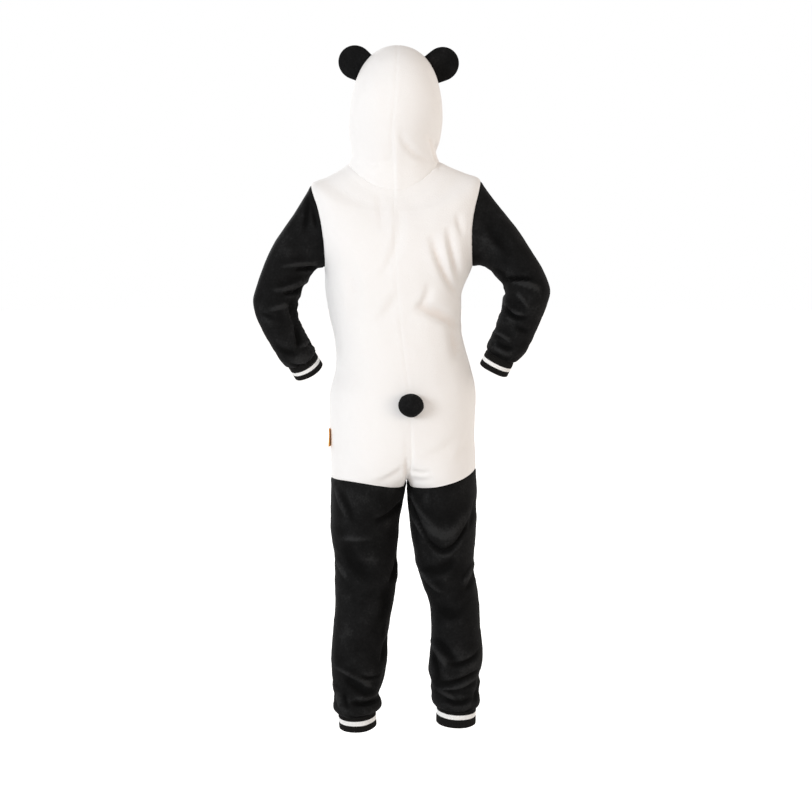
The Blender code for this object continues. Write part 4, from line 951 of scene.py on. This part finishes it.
nap = napGroup()
# The hollow colours are painted shade in the fold hollows, warm on the white; the ridge colours are painted highlight
# on the fold ridges, which the black cloth's brushed patches also reach
whiteFleece = pileCloth("whiteFleece", {
    "hollow": (0.825, 0.775, 0.738), "dark": (0.878, 0.860, 0.846),
    "pale": (0.886, 0.871, 0.859), "ridgeHighlight": (0.900, 0.890, 0.880),
    "fibre": 1100.0, "tuft": 330.0, "patch": 120.0, "grain": 0.3, "foldShadeShare": 0.30, "bump": 0.30, "depth": 0.0012,
    "roughness": 0.95, "specular": 0.15, "sheen": 0.10, "sheenRough": 0.5, "sheenTint": (1.0, 0.98, 0.96),
})
blackFleece = pileCloth("blackFleece", {
    "hollow": (0.0013, 0.0013, 0.0013), "dark": (0.0036, 0.0036, 0.0037),
    "pale": (0.0070, 0.0070, 0.0072), "ridgeHighlight": (0.0210, 0.0212, 0.0216),
    "fibre": 1000.0, "tuft": 280.0, "patch": 30.0, "grain": 1.0, "foldShadeShare": 0.30, "bump": 0.35, "depth": 0.0012,
    "roughness": 0.90, "specular": 0.12, "sheen": 0.030, "sheenRough": 0.35, "sheenTint": (0.9, 0.91, 0.93),
})
print("cloth finishes made")

slots = {
    "back": "white_fleece", "front": "white_fleece", "hood": "white_fleece",
    "sleeve": "black_fleece", "legBack": "black_fleece", "legFront": "black_fleece",
}


def nodeName(name):
    # sleeveLeft becomes sleeve_left, as the frame names it
    return "".join("_" + c.lower() if c.isupper() else c for c in name)


def shapedPanels():
    # the flat-lying form, then folds and waves, then the rolls at seams and edges
    panels = clothPanels()
    normals = sheetNormals(panels)
    lifted, foldShade = {}, {}
    for name, grid in panels.items():
        shade = "black" if name.startswith(("sleeve", "leg")) else "white"
        creased, waved = fold[shade + "Lift"] * creaseHeight(grid, normals[name]), wrinkles(name, grid)
        height = creased + waved
        # painted shade and highlight: fold and wave heights, scaled and clipped to -1..1, darken the colour in
        # hollows and lighten it on ridges
        foldShade[name] = np.clip((creased + fold["noiseShare"] * waved) / fold[shade + "Relief"], -1, 1)
        lifted[name] = grid + normals[name] * height[..., None]
    normals = sheetNormals(lifted)
    outer = {n: g + normals[n] * seamRoll(n, panels[n])[..., None] for n, g in lifted.items()}
    inner = {n: g - normals[n] * (cut["wall"] + turnedUnder(n, panels[n]))[..., None] for n, g in lifted.items()}
    return panels, outer, inner, normals, foldShade


def flatSize(grid):
    # (width, length, area) of a piece laid out, in metres: its longest row and column, and the sum
    # of its cells, each half the cross product of its diagonals
    width = np.linalg.norm(np.diff(grid, axis=0), axis=-1).sum(axis=0).max() / 1000
    length = np.linalg.norm(np.diff(grid, axis=1), axis=-1).sum(axis=1).max() / 1000
    cells = np.cross(grid[1:, 1:] - grid[:-1, :-1], grid[:-1, 1:] - grid[1:, :-1])
    return width, length, np.linalg.norm(cells, axis=-1).sum() / 2e6


def declareSheet(piece, grid):
    # States the flat size; the area is never more than width times length
    width, length, area = flatSize(grid)
    area = min(area, width * length)
    print(piece.name, "cut", round(width, 3), "x", round(length, 3), "m, area", round(area, 4))


flatPanels, outerFaces, innerFaces, outerNormals, foldShades = shapedPanels()
for name, grid in outerFaces.items():
    kind = name.removesuffix("Left").removesuffix("Right")
    finish = whiteFleece if slots[kind] == "white_fleece" else blackFleece
    # each piece carries its fold heights, which paint shade and highlight into its colour
    made = shellMesh(name, grid, innerFaces[name], isTube(name), facesOut(name), {"foldShade": (foldShades[name], 0.0)})
    piece = place(name, made, finish, nodes=(nodeName(name),))
    flat = flatPanels[name]
    declareSheet(piece, np.concatenate([flat, flat[:1]]) if isTube(name) else flat)
print("fleece pieces made")

# Ribbed cuffs carry on from the end of each limb. The white band is knitted in, between two heights.
cuff = {
    "knit": 2.5, "ribRaise": 0.7, "ribPoints": 6, "rows": 26, "roundEdge": 1.2, "gap": 0.15,
    "tuck": 1.3, "tuckLong": 5.0, "wave": 0.7, "waveCell": (16, 16, 22), "waveFrom": 8,
    "uneven": 0.9, "unevenCell": (24, 24, 24),
}
cuffNames = ("name", "limb", "word", "length", "ribs", "bandFrom", "bandTo")
cuffRows = (
    ("wristCuff", "sleeve", "Left", 30.0, 64, 12.2, 19.2),
    ("wristCuff", "sleeve", "Right", 30.0, 64, 12.2, 19.0),
    ("ankleCuff", "leg", "Left", 28.5, 80, 6.6, 15.2),
    ("ankleCuff", "leg", "Right", 30.5, 80, 5.4, 13.8),
)
# the groove colours are painted shade in the grooves between the ribs
knit = {
    "black": (0.0068, 0.0062, 0.0056), "blackGrooveShade": (0.0020, 0.0019, 0.0017), "white": (0.98, 0.975, 0.965),
    "whiteGrooveShade": (0.88, 0.87, 0.85), "stitch": 1.25, "slant": 0.9, "edge": 0.35, "bump": 0.55, "depth": 0.0006,
    "yarn": 2400.0, "bandSoft": 0.12, "roughness": 0.88, "specular": 0.15, "sheen": 0.03,
}


def ribKnit():
    # Ribs with painted shade in the grooves between them, by "crest", a band of white where "band" is under 0,
    # and rows of small stitches that slant away from each crest
    made, tree, shader = newFinish("ribKnit")
    crest, band, along = (attribute(tree, key) for key in ("crest", "band", "along"))
    slanted = maths(tree, "MULTIPLY_ADD", crest, knit["slant"], along)
    loops = maths(tree, "SINE", maths(tree, "MULTIPLY", slanted, 2 * math.pi / knit["stitch"]))
    height = maths(tree, "MULTIPLY_ADD", loops, 0.5, noise(tree, objectPlace(tree), knit["yarn"], Detail=2.0))
    isWhite = addNode(tree, "MapRange", {
        "Value": maths(tree, "MULTIPLY_ADD", loops, knit["edge"], band),
        "From Min": knit["bandSoft"], "From Max": -knit["bandSoft"],
    })
    colour = tree.nodes.new("ShaderNodeMix")
    colour.data_type = "RGBA"
    feed(tree, colour, {
        "Factor": isWhite.outputs["Result"],
        "A": rampOf(tree, crest, ((0.05, knit["blackGrooveShade"]), (0.75, knit["black"]))),
        "B": rampOf(tree, crest, ((0.05, knit["whiteGrooveShade"]), (0.60, knit["white"]))),
    })
    dress(tree, shader, colour.outputs["Result"], height, knit)
    return made


def limbEnd(limb, word):
    # (centre, half axis, other half axis, unit axis down the limb) of the seam where a cuff starts
    if limb == "sleeve":
        ring = flatPanels["sleeve" + word][:, -1]
        centre = ring.mean(axis=0)
        first, second = ring[0] - centre, ring[len(ring) // 4] - centre
    else:
        back, front = flatPanels["legBack" + word][:, -1], flatPanels["legFront" + word][:, -1]
        centre = (back[0] + back[-1]) / 2
        first, second = back[0] - centre, (back[len(back) // 2] - front[len(front) // 2]) / 2
    axis = np.cross(first, second)
    axis *= -np.sign(axis[2]) / np.linalg.norm(axis)
    return centre, first, second, axis


def cuffPiece(row):
    # An ellipse carried down the limb's axis. Outside, each rib bulges as the root of a sine; at the
    # lower edge the knit is folded, so both faces curve to meet
    c = dict(zip(cuffNames, row))
    name = c["name"] + c["word"]
    centre, first, second, axis = limbEnd(c["limb"], c["word"])
    around = np.linspace(0, 2 * math.pi, c["ribs"] * cuff["ribPoints"], endpoint=False)
    rows = c["length"] * np.sin(np.linspace(0, math.pi / 2, cuff["rows"]))
    rows = rows + cuff["gap"] * np.linspace(1, 0, cuff["rows"])
    turn, down = np.meshgrid(around, rows, indexing="ij")
    plain = first * np.cos(turn)[..., None] + second * np.sin(turn)[..., None]
    out = unit(plain)
    crest = np.sqrt(np.abs(np.sin(c["ribs"] * turn / 2)))
    folded = np.clip((down - c["length"]) / cuff["roundEdge"] + 1, 0, 1)
    edge = cuff["roundEdge"] * (1 - np.sqrt(1 - folded**2))
    tucked = cuff["tuck"] * fade(down, cuff["tuckLong"])
    loose = cuff["wave"] * valueNoise(plain + down[..., None] * axis + centre, cuff["waveCell"], 14)
    loose = loose * np.clip(down / cuff["waveFrom"], 0, 1)
    uneven = cuff["uneven"] * valueNoise(plain + centre, cuff["unevenCell"], 15)
    length = down + uneven * (down / c["length"]) ** 2
    base = centre + plain + out * (loose - tucked)[..., None] + length[..., None] * axis
    outer = base - out * (cuff["ribRaise"] * (1 - crest) + edge)[..., None]
    inner = base - out * (cuff["knit"] - edge)[..., None]
    band = np.abs(down - (c["bandFrom"] + c["bandTo"]) / 2) - (c["bandTo"] - c["bandFrom"]) / 2
    values = {"crest": (crest, crest), "band": (band, band), "along": (down, down)}
    sign = 1 if np.cross(first, second) @ axis > 0 else -1
    made = shellMesh(name, outer, inner, True, sign, values)
    piece = place(name, made, knitted, nodes=(nodeName(name),))
    middle = (outer + inner) / 2
    declareSheet(piece, np.concatenate([middle, middle[:1]]))


knitted = ribKnit()
for row in cuffRows:
    cuffPiece(row)
print("cuffs made")

# The front zip: its line runs up the opening, its foot goes behind the closed seam below it.
# A tooth is a row of rings, each at a place across the zip and with its size.
zipper = {
    "foot": 62.0, "top": 599.0, "sink": 1.0, "footSink": 3.1, "pitch": 1.7, "toothLong": 1.15, "toothDeep": 1.9,
    "toothSharp": 1.73, "toothRings": ((-2.35, 0.55), (-2.0, 1.0), (0.45, 1.0), (0.75, 0.6)),
    "tapeInner": 0.5, "tapeFoot": 3.4, "tapeOuter": 17.0, "tapeThick": 0.8, "tapeUnder": 3.15, "tapeColumns": 12,
    "tapeRows": 240, "inwardColumn": 8, "tiltColumn": 4,
}
# the tape's gap colour is painted shade between its threads
tapeLook = {
    "thread": (0.80, 0.795, 0.78), "between": (0.66, 0.655, 0.64), "across": 1300.0, "along": 1500.0, "bump": 0.5,
    "depth": 0.0003, "roughness": 0.75, "specular": 0.3, "sheen": 0.05,
}
teethLook = {
    "pale": (0.86, 0.86, 0.85), "dull": (0.74, 0.735, 0.72), "scale": 160.0, "roughness": 0.38, "specular": 0.5,
    "bump": 0.08, "depth": 0.0002, "grain": 1800.0,
}
barSides = 6


def weaveGroup():
    # Threads over and under each other: two bands of waves at right angles, multiplied
    tree, sizes, result = nodeGroup("weave", {"Across": 1300.0, "Along": 1500.0}, ("Height",))
    apart = addNode(tree, "SeparateXYZ", {0: objectPlace(tree)}).outputs
    flat = maths(tree, "ADD", apart["X"], apart["Y"])
    waved = [
        maths(tree, "SINE", maths(tree, "MULTIPLY", maths(tree, "MULTIPLY", source, sizes[key]), math.pi))
        for source, key in ((flat, "Across"), (apart["Z"], "Along"))
    ]
    crossed = maths(tree, "MULTIPLY", *waved)
    feed(tree, result, {"Height": maths(tree, "MULTIPLY_ADD", crossed, 0.5, 0.5)})
    return tree


def wovenCloth(name, look):
    # Thread colour over painted shade in the gaps between threads, with the weave as bump
    made, tree, shader = newFinish(name)
    height = grouped(tree, weave, {"Across": look["across"], "Along": look["along"]})["Height"]
    dress(tree, shader, rampOf(tree, height, ((0.15, look["between"]), (0.60, look["thread"]))), height, look)
    return made


def noisyFinish(name, low, high, look, metallic=0.0, scratched=False):
    # Colour and roughness drift over broad noise; fine grain, drawn out where it is brushed, is bump
    made, tree, shader = newFinish(name)
    where = objectPlace(tree)
    broad = noise(tree, where, look["scale"], Detail=4.0)
    stretch = addNode(tree, "Mapping", {"Vector": where, "Scale": (1.0, 1.0, 0.08 if scratched else 1.0)})
    fine = noise(tree, stretch.outputs["Vector"], look["grain"])
    dress(tree, shader, rampOf(tree, broad, ((0.35, low), (0.62, high))), fine, look)
    rough = addNode(tree, "MapRange", {
        "Value": broad, "To Min": look["roughness"] * 0.75, "To Max": look["roughness"] * 1.3,
    })
    feed(tree, shader, {"Roughness": rough.outputs["Result"], "Metallic": metallic})
    return made


def zipLine(at):
    # (middle, unit vector to the wearer's left, unit vector up, unit vector out) at each height
    left, right = torso(1, True, at, 0 * at), torso(-1, True, at, 0 * at)
    ahead = torso(1, True, at + 1, 0 * at) + torso(-1, True, at + 1, 0 * at) - left - right
    wide = torso(1, True, at, 0 * at + 0.05) - torso(-1, True, at, 0 * at + 0.05)
    sideways, up = unit(wide), unit(ahead)
    out = unit(np.cross(sideways, up))
    out *= -np.sign(out[:, 1:2])
    return (left + right) / 2, sideways, unit(np.cross(out, sideways)), out


def zipSink(at):
    # How far the teeth lie below the front's edge: deeper where they pass behind the closed seam
    return zipper["sink"] + (zipper["footSink"] - zipper["sink"]) * np.clip(3 * (1 - zipOpened(at)), 0, 1)


def barFaces(rings):
    # Faces of a closed bar, one of the teeth or stitches: those between its rings, then two at each end
    index = np.arange(rings * barSides).reshape(rings, barSides)
    after = np.roll(index, -1, axis=1)
    sides = np.stack([index[:-1], after[:-1], after[1:], index[1:]], axis=-1).reshape(-1, 4)
    first, last = index[0][[[0, 5, 4, 3], [0, 3, 2, 1]]], index[-1][[[0, 1, 2, 3], [0, 3, 4, 5]]]
    return np.concatenate([sides, first, last])


def toothForm():
    # one moulded tooth: a bar with tapered ends, x across the zip, y out, z up it
    turn = np.radians(np.arange(barSides) * 60 + 30)
    y, z = np.sin(turn) * zipper["toothDeep"] / zipper["toothSharp"], np.cos(turn) * zipper["toothLong"] / 2
    rings = [np.stack([0 * turn + x, y * size, z * size], axis=1) for x, size in zipper["toothRings"]]
    return np.concatenate(rings), barFaces(len(rings))


def repeated(points, faces, origin, axes):
    # copies of a small form at each origin, its x, y and z along the three unit vectors given
    moved = origin[:, None] + np.einsum("pk,nkc->npc", points, np.stack(axes, axis=1))
    steps = (np.arange(len(origin)) * len(points))[:, None, None]
    return moved.reshape(-1, 3), (faces[None] + steps).reshape(-1, 4)


def outwards(name, points, faces, crease=40.0):
    # a mesh of closed forms with its faces turned out
    made = meshOf(name, points, faces, crease=crease)
    form = bmesh.new()
    form.from_mesh(made)
    bmesh.ops.recalc_face_normals(form, faces=form.faces)
    form.to_mesh(made)
    form.free()
    return made


def zipTeeth():
    # teeth at every half pitch, turned to the left and to the right by turns
    at = np.arange(zipper["foot"], zipper["top"], zipper["pitch"] / 2)
    middle, sideways, up, out = zipLine(at)
    middle = middle - out * (zipSink(at) + zipper["toothDeep"] / 2)[:, None]
    side = np.where(np.arange(len(at)) % 2, 1.0, -1.0)[:, None]
    moved, joined = repeated(*toothForm(), middle, (sideways * side, out, up))
    made = outwards("zipTeeth", moved * 0.001, joined)
    place("zipTeeth", made, teethFinish, nodes=("zip_chain",))


def zipTape(word):
    # a woven strip under the edge of the fleece, from beside the teeth outwards
    at = np.linspace(zipper["foot"], zipper["top"], zipper["tapeRows"])
    middle, sideways = zipLine(at)[:2]
    parted = np.clip(zipOpened(at) * 2 - 1, 0, 1)
    start = zipper["tapeFoot"] + (zipper["tapeInner"] - zipper["tapeFoot"]) * parted
    reach = start + (zipper["tapeOuter"] - start) * np.linspace(0, 1, zipper["tapeColumns"])[:, None]
    panel, normals, rows = flatPanels["front" + word], outerNormals["front" + word], torsoRows()[0]
    edge = pointsAt(at, rows, panel[0])
    inwards = unit(pointsAt(at, rows, panel[zipper["inwardColumn"]]) - edge)
    tilt = unit(pointsAt(at, rows, normals[zipper["tiltColumn"]]))
    gap = np.abs(((edge - middle) * sideways).sum(axis=-1))
    face = edge + inwards * (reach - gap)[..., None] - tilt * zipper["tapeUnder"]
    name = "zipTape" + word
    made = outwards(name, *sheetForm(face, face - tilt * zipper["tapeThick"]))
    piece = place(name, made, tapeFinish, nodes=(nodeName(name),))
    declareSheet(piece, face)


weave = weaveGroup()
tapeFinish = wovenCloth("zipTapeCloth", tapeLook)
teethFinish = noisyFinish("zipTeethPlastic", teethLook["dull"], teethLook["pale"], teethLook)
zipTeeth()
zipTape("Left")
zipTape("Right")
print("zip made")

# The slider and its pull keep their solids.
metalLook = {
    "dull": (0.50, 0.50, 0.49), "bright": (0.68, 0.68, 0.66), "scale": 420.0, "grain": 2600.0, "bump": 0.10,
    "depth": 0.00015, "roughness": 0.30, "specular": 0.5,
}
metal = noisyFinish("zipMetal", metalLook["dull"], metalLook["bright"], metalLook, 1.0, True)
for node in ("zip_slider", "zip_pull"):
    solid = bpy.data.objects[node]
    for slot in solid.material_slots:
        slot.material = metal
    solid.data.shade_smooth()
    solid.data.set_sharp_from_angle(angle=math.radians(40))

# Rows of sewing thread beside the zip and round the face opening.
thread = {
    "long": 2.5, "pitch": 3.4, "wide": 0.55, "sizes": (0.35, 0.9, 1.0, 0.9, 0.35), "proud": 0.43, "dive": 0.55,
    "aboveOpen": 4.0, "colour": (0.84, 0.83, 0.815), "shade": (0.70, 0.69, 0.675),
}
threadLook = {
    "scale": 500.0, "grain": 3200.0, "bump": 0.3, "depth": 0.0002, "roughness": 0.6, "specular": 0.3,
}


def stitchForm():
    # one stitch: a bar along z that bows up in its middle and dives at its ends
    steps = np.linspace(-1, 1, len(thread["sizes"]))[:, None]
    size = np.array(thread["sizes"])[:, None] * thread["wide"] / 2
    turn = np.linspace(0, 2 * math.pi, barSides, endpoint=False)
    y = np.sin(turn) * size + thread["proud"] - thread["dive"] * steps**2
    points = np.stack([np.cos(turn) * size, y, 0 * y + steps * thread["long"] / 2], axis=-1)
    return points.reshape(-1, 3), barFaces(len(steps))


def lineAt(grid, normals, distance, edge):
    # the line that runs a fixed distance in from an edge of a grid, and the normals along it
    if edge == "end":
        grid, normals = grid.swapaxes(0, 1)[::-1], normals.swapaxes(0, 1)[::-1]
    run = np.linalg.norm(np.diff(grid, axis=0), axis=-1).cumsum(axis=0)
    run = np.concatenate([np.zeros((1, grid.shape[1])), run])
    low = np.clip((run < distance).sum(axis=0) - 1, 0, len(grid) - 2)
    column = np.arange(grid.shape[1])
    share = ((distance - run[low, column]) / (run[low + 1, column] - run[low, column]))[:, None]
    line = grid[low, column] * (1 - share) + grid[low + 1, column] * share
    return line, unit(normals[low, column] * (1 - share) + normals[low + 1, column] * share)


def stitchRow(name, line, out):
    # stitches at even steps along a line, each standing off the cloth
    along = np.concatenate([[0], np.linalg.norm(np.diff(line, axis=0), axis=-1).cumsum()])
    spots = np.arange(thread["pitch"], along[-1] - thread["pitch"], thread["pitch"])
    up = unit(pointsAt(spots + 1, along, line) - pointsAt(spots - 1, along, line))
    lifted = pointsAt(spots, along, out)
    lifted = unit(lifted - up * (lifted * up).sum(axis=-1, keepdims=True))
    axes = (np.cross(lifted, up), lifted, up)
    moved, joined = repeated(*stitchForm(), pointsAt(spots, along, line), axes)
    place(name, outwards(name, moved * 0.001, joined), threadFinish)


threadFinish = noisyFinish("sewingThread", thread["shade"], thread["colour"], threadLook)
for word in ("Left", "Right"):
    rows = torsoRows()[0] >= cut["zipOpen"] + thread["aboveOpen"]
    line, out = lineAt(outerFaces["front" + word], outerNormals["front" + word], seam["zipStitch"], "start")
    stitchRow("zipStitches" + word, line[rows], out[rows])
    line, out = lineAt(outerFaces["hood" + word], outerNormals["hood" + word], seam["hemStitch"], "end")
    stitchRow("hemStitches" + word, line, out)
print("stitches made")

# Ears: two stuffed halves each, sewn together round the rim, standing on the hood.
ear = {
    "at": 300.0, "columns": 64, "rows": 34, "thick": 7.5, "rimThick": 0.5, "swell": 4, "sink": 0.7, "gap": 0.15,
    "soft": 0.5, "softCell": (15, 15, 15),
}
earNames = ("word", "side", "baseFrom", "baseTo", "centre", "radius", "arcFrom", "arcTo")
ears = (
    ("Left", 1, 0.52, 1.01, 18, 31, 193, -13),
    ("Right", -1, 0.56, 1.05, 22, 31, 193, -13),
)


def earHalves(row):
    # A sheet from the ear's base on the hood to the arc of its rim; its thickness is the root of
    # 1 - (2u - 1)^4 across and of 1 - r^2 towards the rim
    e = dict(zip(earNames, row))
    turn = np.linspace(e["baseFrom"], e["baseTo"], ear["columns"] + 1)
    base = hoodRing(e["side"], 0 * turn + ear["at"], turn)
    ahead = hoodRing(e["side"], 0 * turn + ear["at"] + 1, turn) - base
    out = unit(np.cross(np.gradient(base, axis=0), ahead))
    out *= np.sign(out[:, :1]) * e["side"]
    middleOut = out[len(out) // 2]
    across = unit(base[-1] - base[0])
    plane = unit(np.cross(across, middleOut))
    plane *= np.sign(plane[1])
    up = np.cross(plane, across)
    up *= np.sign(up @ middleOut)
    middle = (base[0] + base[-1]) / 2 + up * e["centre"]
    angle = np.radians(np.linspace(e["arcFrom"], e["arcTo"], ear["columns"] + 1))
    rim = middle + e["radius"] * (across * np.cos(angle)[:, None] + up * np.sin(angle)[:, None])
    base = base - out * ear["sink"]
    flat = base - plane * ((base - middle) @ plane)[:, None]
    rise = np.sin(np.linspace(0, math.pi / 2, ear["rows"] + 1))[None]
    sheet = flat[:, None] + (rim - flat)[:, None] * rise[..., None]
    u = (1 - np.cos(np.linspace(0, math.pi, ear["columns"] + 1)))[:, None] / 2
    even = np.linspace(0, 1, ear["columns"] + 1)
    sheet = np.stack([pointsAt(u[:, 0], even, sheet[:, k]) for k in range(ear["rows"] + 1)], axis=1)
    puff = np.sqrt(np.clip(1 - (2 * u - 1) ** ear["swell"], 0, 1)) * np.sqrt(np.clip(1 - rise**2, 0, 1))
    thick = ear["rimThick"] + (ear["thick"] - ear["rimThick"]) * puff
    thick = thick + ear["soft"] * puff * valueNoise(sheet, ear["softCell"], 21)
    for kind, sign in (("earBack", 1), ("earFront", -1)):
        name = kind + e["word"]
        face = sheet + plane * sign * thick[..., None]
        hidden = sheet + plane * sign * ear["gap"]
        made = outwards(name, *sheetForm(face, hidden), crease=70.0)
        piece = place(name, made, blackFleece, nodes=(nodeName(name),))


for row in ears:
    earHalves(row)
print("ears made")

# Tail: a stuffed ball, flat where it is sewn to the centre seam of the seat.
tail = {
    "half": (23.0, 19.0, 21.0), "flat": 12.0, "turn": 7.0, "lift": 0.4, "height": -391.5, "around": 96, "over": 56,
    "pinch": 0.5, "pinchFrom": 0.25, "soft": 0.9, "softCell": (13, 13, 13), "radius": 21,
}


def tailBall():
    # An ellipsoid by two angles; below the flat its depth bends off softly
    seamLine = flatPanels["backLeft"][0]
    seamLine = seamLine[np.argsort(seamLine[:, 2])]
    spot = pointsAt(tail["height"], seamLine[:, 2], seamLine)
    above = pointsAt(tail["height"] + tail["half"][2], seamLine[:, 2], seamLine)
    side = np.array([math.cos(math.radians(tail["turn"])), math.sin(math.radians(tail["turn"])), 0.0])
    out = unit(np.cross(unit(above - spot), side))
    out *= np.sign(out[1])
    up = np.cross(side, out)
    around = np.linspace(0, 2 * math.pi, tail["around"], endpoint=False)
    over = np.linspace(0, math.pi, tail["over"] + 2)[1:-1]
    turn, tilt = np.meshgrid(around, over, indexing="ij")
    ball = np.stack([np.sin(tilt) * np.cos(turn), np.cos(tilt), np.sin(tilt) * np.sin(turn)], axis=-1).reshape(-1, 3)
    ball = np.concatenate([ball, [[0.0, 1.0, 0.0], [0.0, -1.0, 0.0]]])
    ball *= 1 + tail["pinch"] * (np.clip(ball[:, 1:2] + tail["pinchFrom"], -1, 0)) ** 2
    points = ball * np.array(tail["half"])
    points[:, 1] = np.maximum(points[:, 1], -tail["flat"])
    points *= 1 + tail["soft"] * valueNoise(points, tail["softCell"], 31)[:, None] / tail["radius"]
    points = spot + (points + [0, tail["flat"] + tail["lift"], 0]) @ np.stack([side, out, up])
    index = np.arange(len(around) * len(over)).reshape(len(around), len(over))
    after = np.roll(index, -1, axis=0)
    quads = np.stack([index[:, :-1], index[:, 1:], after[:, 1:], after[:, :-1]], axis=-1).reshape(-1, 4)
    first, last = len(points) - 2, len(points) - 1
    caps = [[first, a, b] for a, b in zip(index[:, 0].tolist(), after[:, 0].tolist())]
    caps += [[last, b, a] for a, b in zip(index[:, -1].tolist(), after[:, -1].tolist())]
    made = bpy.data.meshes.new("tailBall")
    made.from_pydata((points * 0.001).tolist(), [], quads.tolist() + caps)
    made.shade_smooth()
    piece = place("tailBall", made, blackFleece, nodes=("tail",))


tailBall()
print("tail made")

# Side label: a folded ribbon caught in the left side seam.
label = {
    "at": 68.5, "half": 16.5, "long": 13.0, "thick": 0.35, "fold": 0.42, "off": 2.6, "inside": 3.5, "turn": 83.0,
    "rows": 24, "straightPoints": 16, "bowPoints": 9, "bowTurn": 80, "pinchLong": 5, "pinchLeast": 0.45,
    "bend": 0.6, "bendTurns": 2.2, "bendStart": 0.6,
}
# the ribbon's gap colour is painted shade between its threads
labelLook = {
    "thread": (0.95, 0.44, 0.06), "between": (0.78, 0.30, 0.03), "across": 1700.0, "along": 1400.0, "bump": 0.5,
    "depth": 0.0002, "roughness": 0.55, "specular": 0.35, "sheen": 0.1,
}


def sideLabel():
    # A U-shaped line, out and back round the fold, carried up the height of the ribbon
    spot = pointsAt(label["at"], torsoRows()[0], flatPanels["backLeft"][-1])
    turn = math.radians(label["turn"])
    out, aside = np.array([math.cos(turn), math.sin(turn), 0.0]), np.array([-math.sin(turn), math.cos(turn), 0.0])
    reach = label["off"] + label["long"]
    straight = np.linspace(-label["inside"], reach - label["fold"], label["straightPoints"])
    bow = np.radians(np.linspace(-label["bowTurn"], label["bowTurn"], label["bowPoints"]))
    x = np.concatenate([straight, reach - label["fold"] + label["fold"] * np.cos(bow), straight[::-1]])
    y = np.concatenate([0 * straight - label["fold"], label["fold"] * np.sin(bow), 0 * straight + label["fold"]])
    y *= np.clip((x + label["inside"]) / label["pinchLong"] + label["pinchLeast"], 0, 1)
    up = np.linspace(-label["half"], label["half"], label["rows"])
    run = unit(np.stack([np.gradient(x), np.gradient(y)], axis=-1))
    swing = np.sin(up / label["half"] * label["bendTurns"] + label["bendStart"])[None]
    sway = label["bend"] * swing * (np.clip(x, 0, None) / reach)[:, None] ** 2

    def gridAt(shift):
        px, py = x + run[:, 1] * shift, y - run[:, 0] * shift
        flatGrid = px[:, None, None] * out + (py[:, None] + sway)[..., None] * aside
        return spot + flatGrid + up[None, :, None] * np.array([0.0, 0.0, 1.0])

    face, back = gridAt(label["thick"] / 2), gridAt(-label["thick"] / 2)
    made = outwards("sideLabel", *sheetForm(face, back), crease=50.0)
    piece = place("sideLabel", made, ribbon, nodes=("side_label",))
    declareSheet(piece, gridAt(0.0))


ribbon = wovenCloth("orangeRibbon", labelLook)
sideLabel()
print("label made")
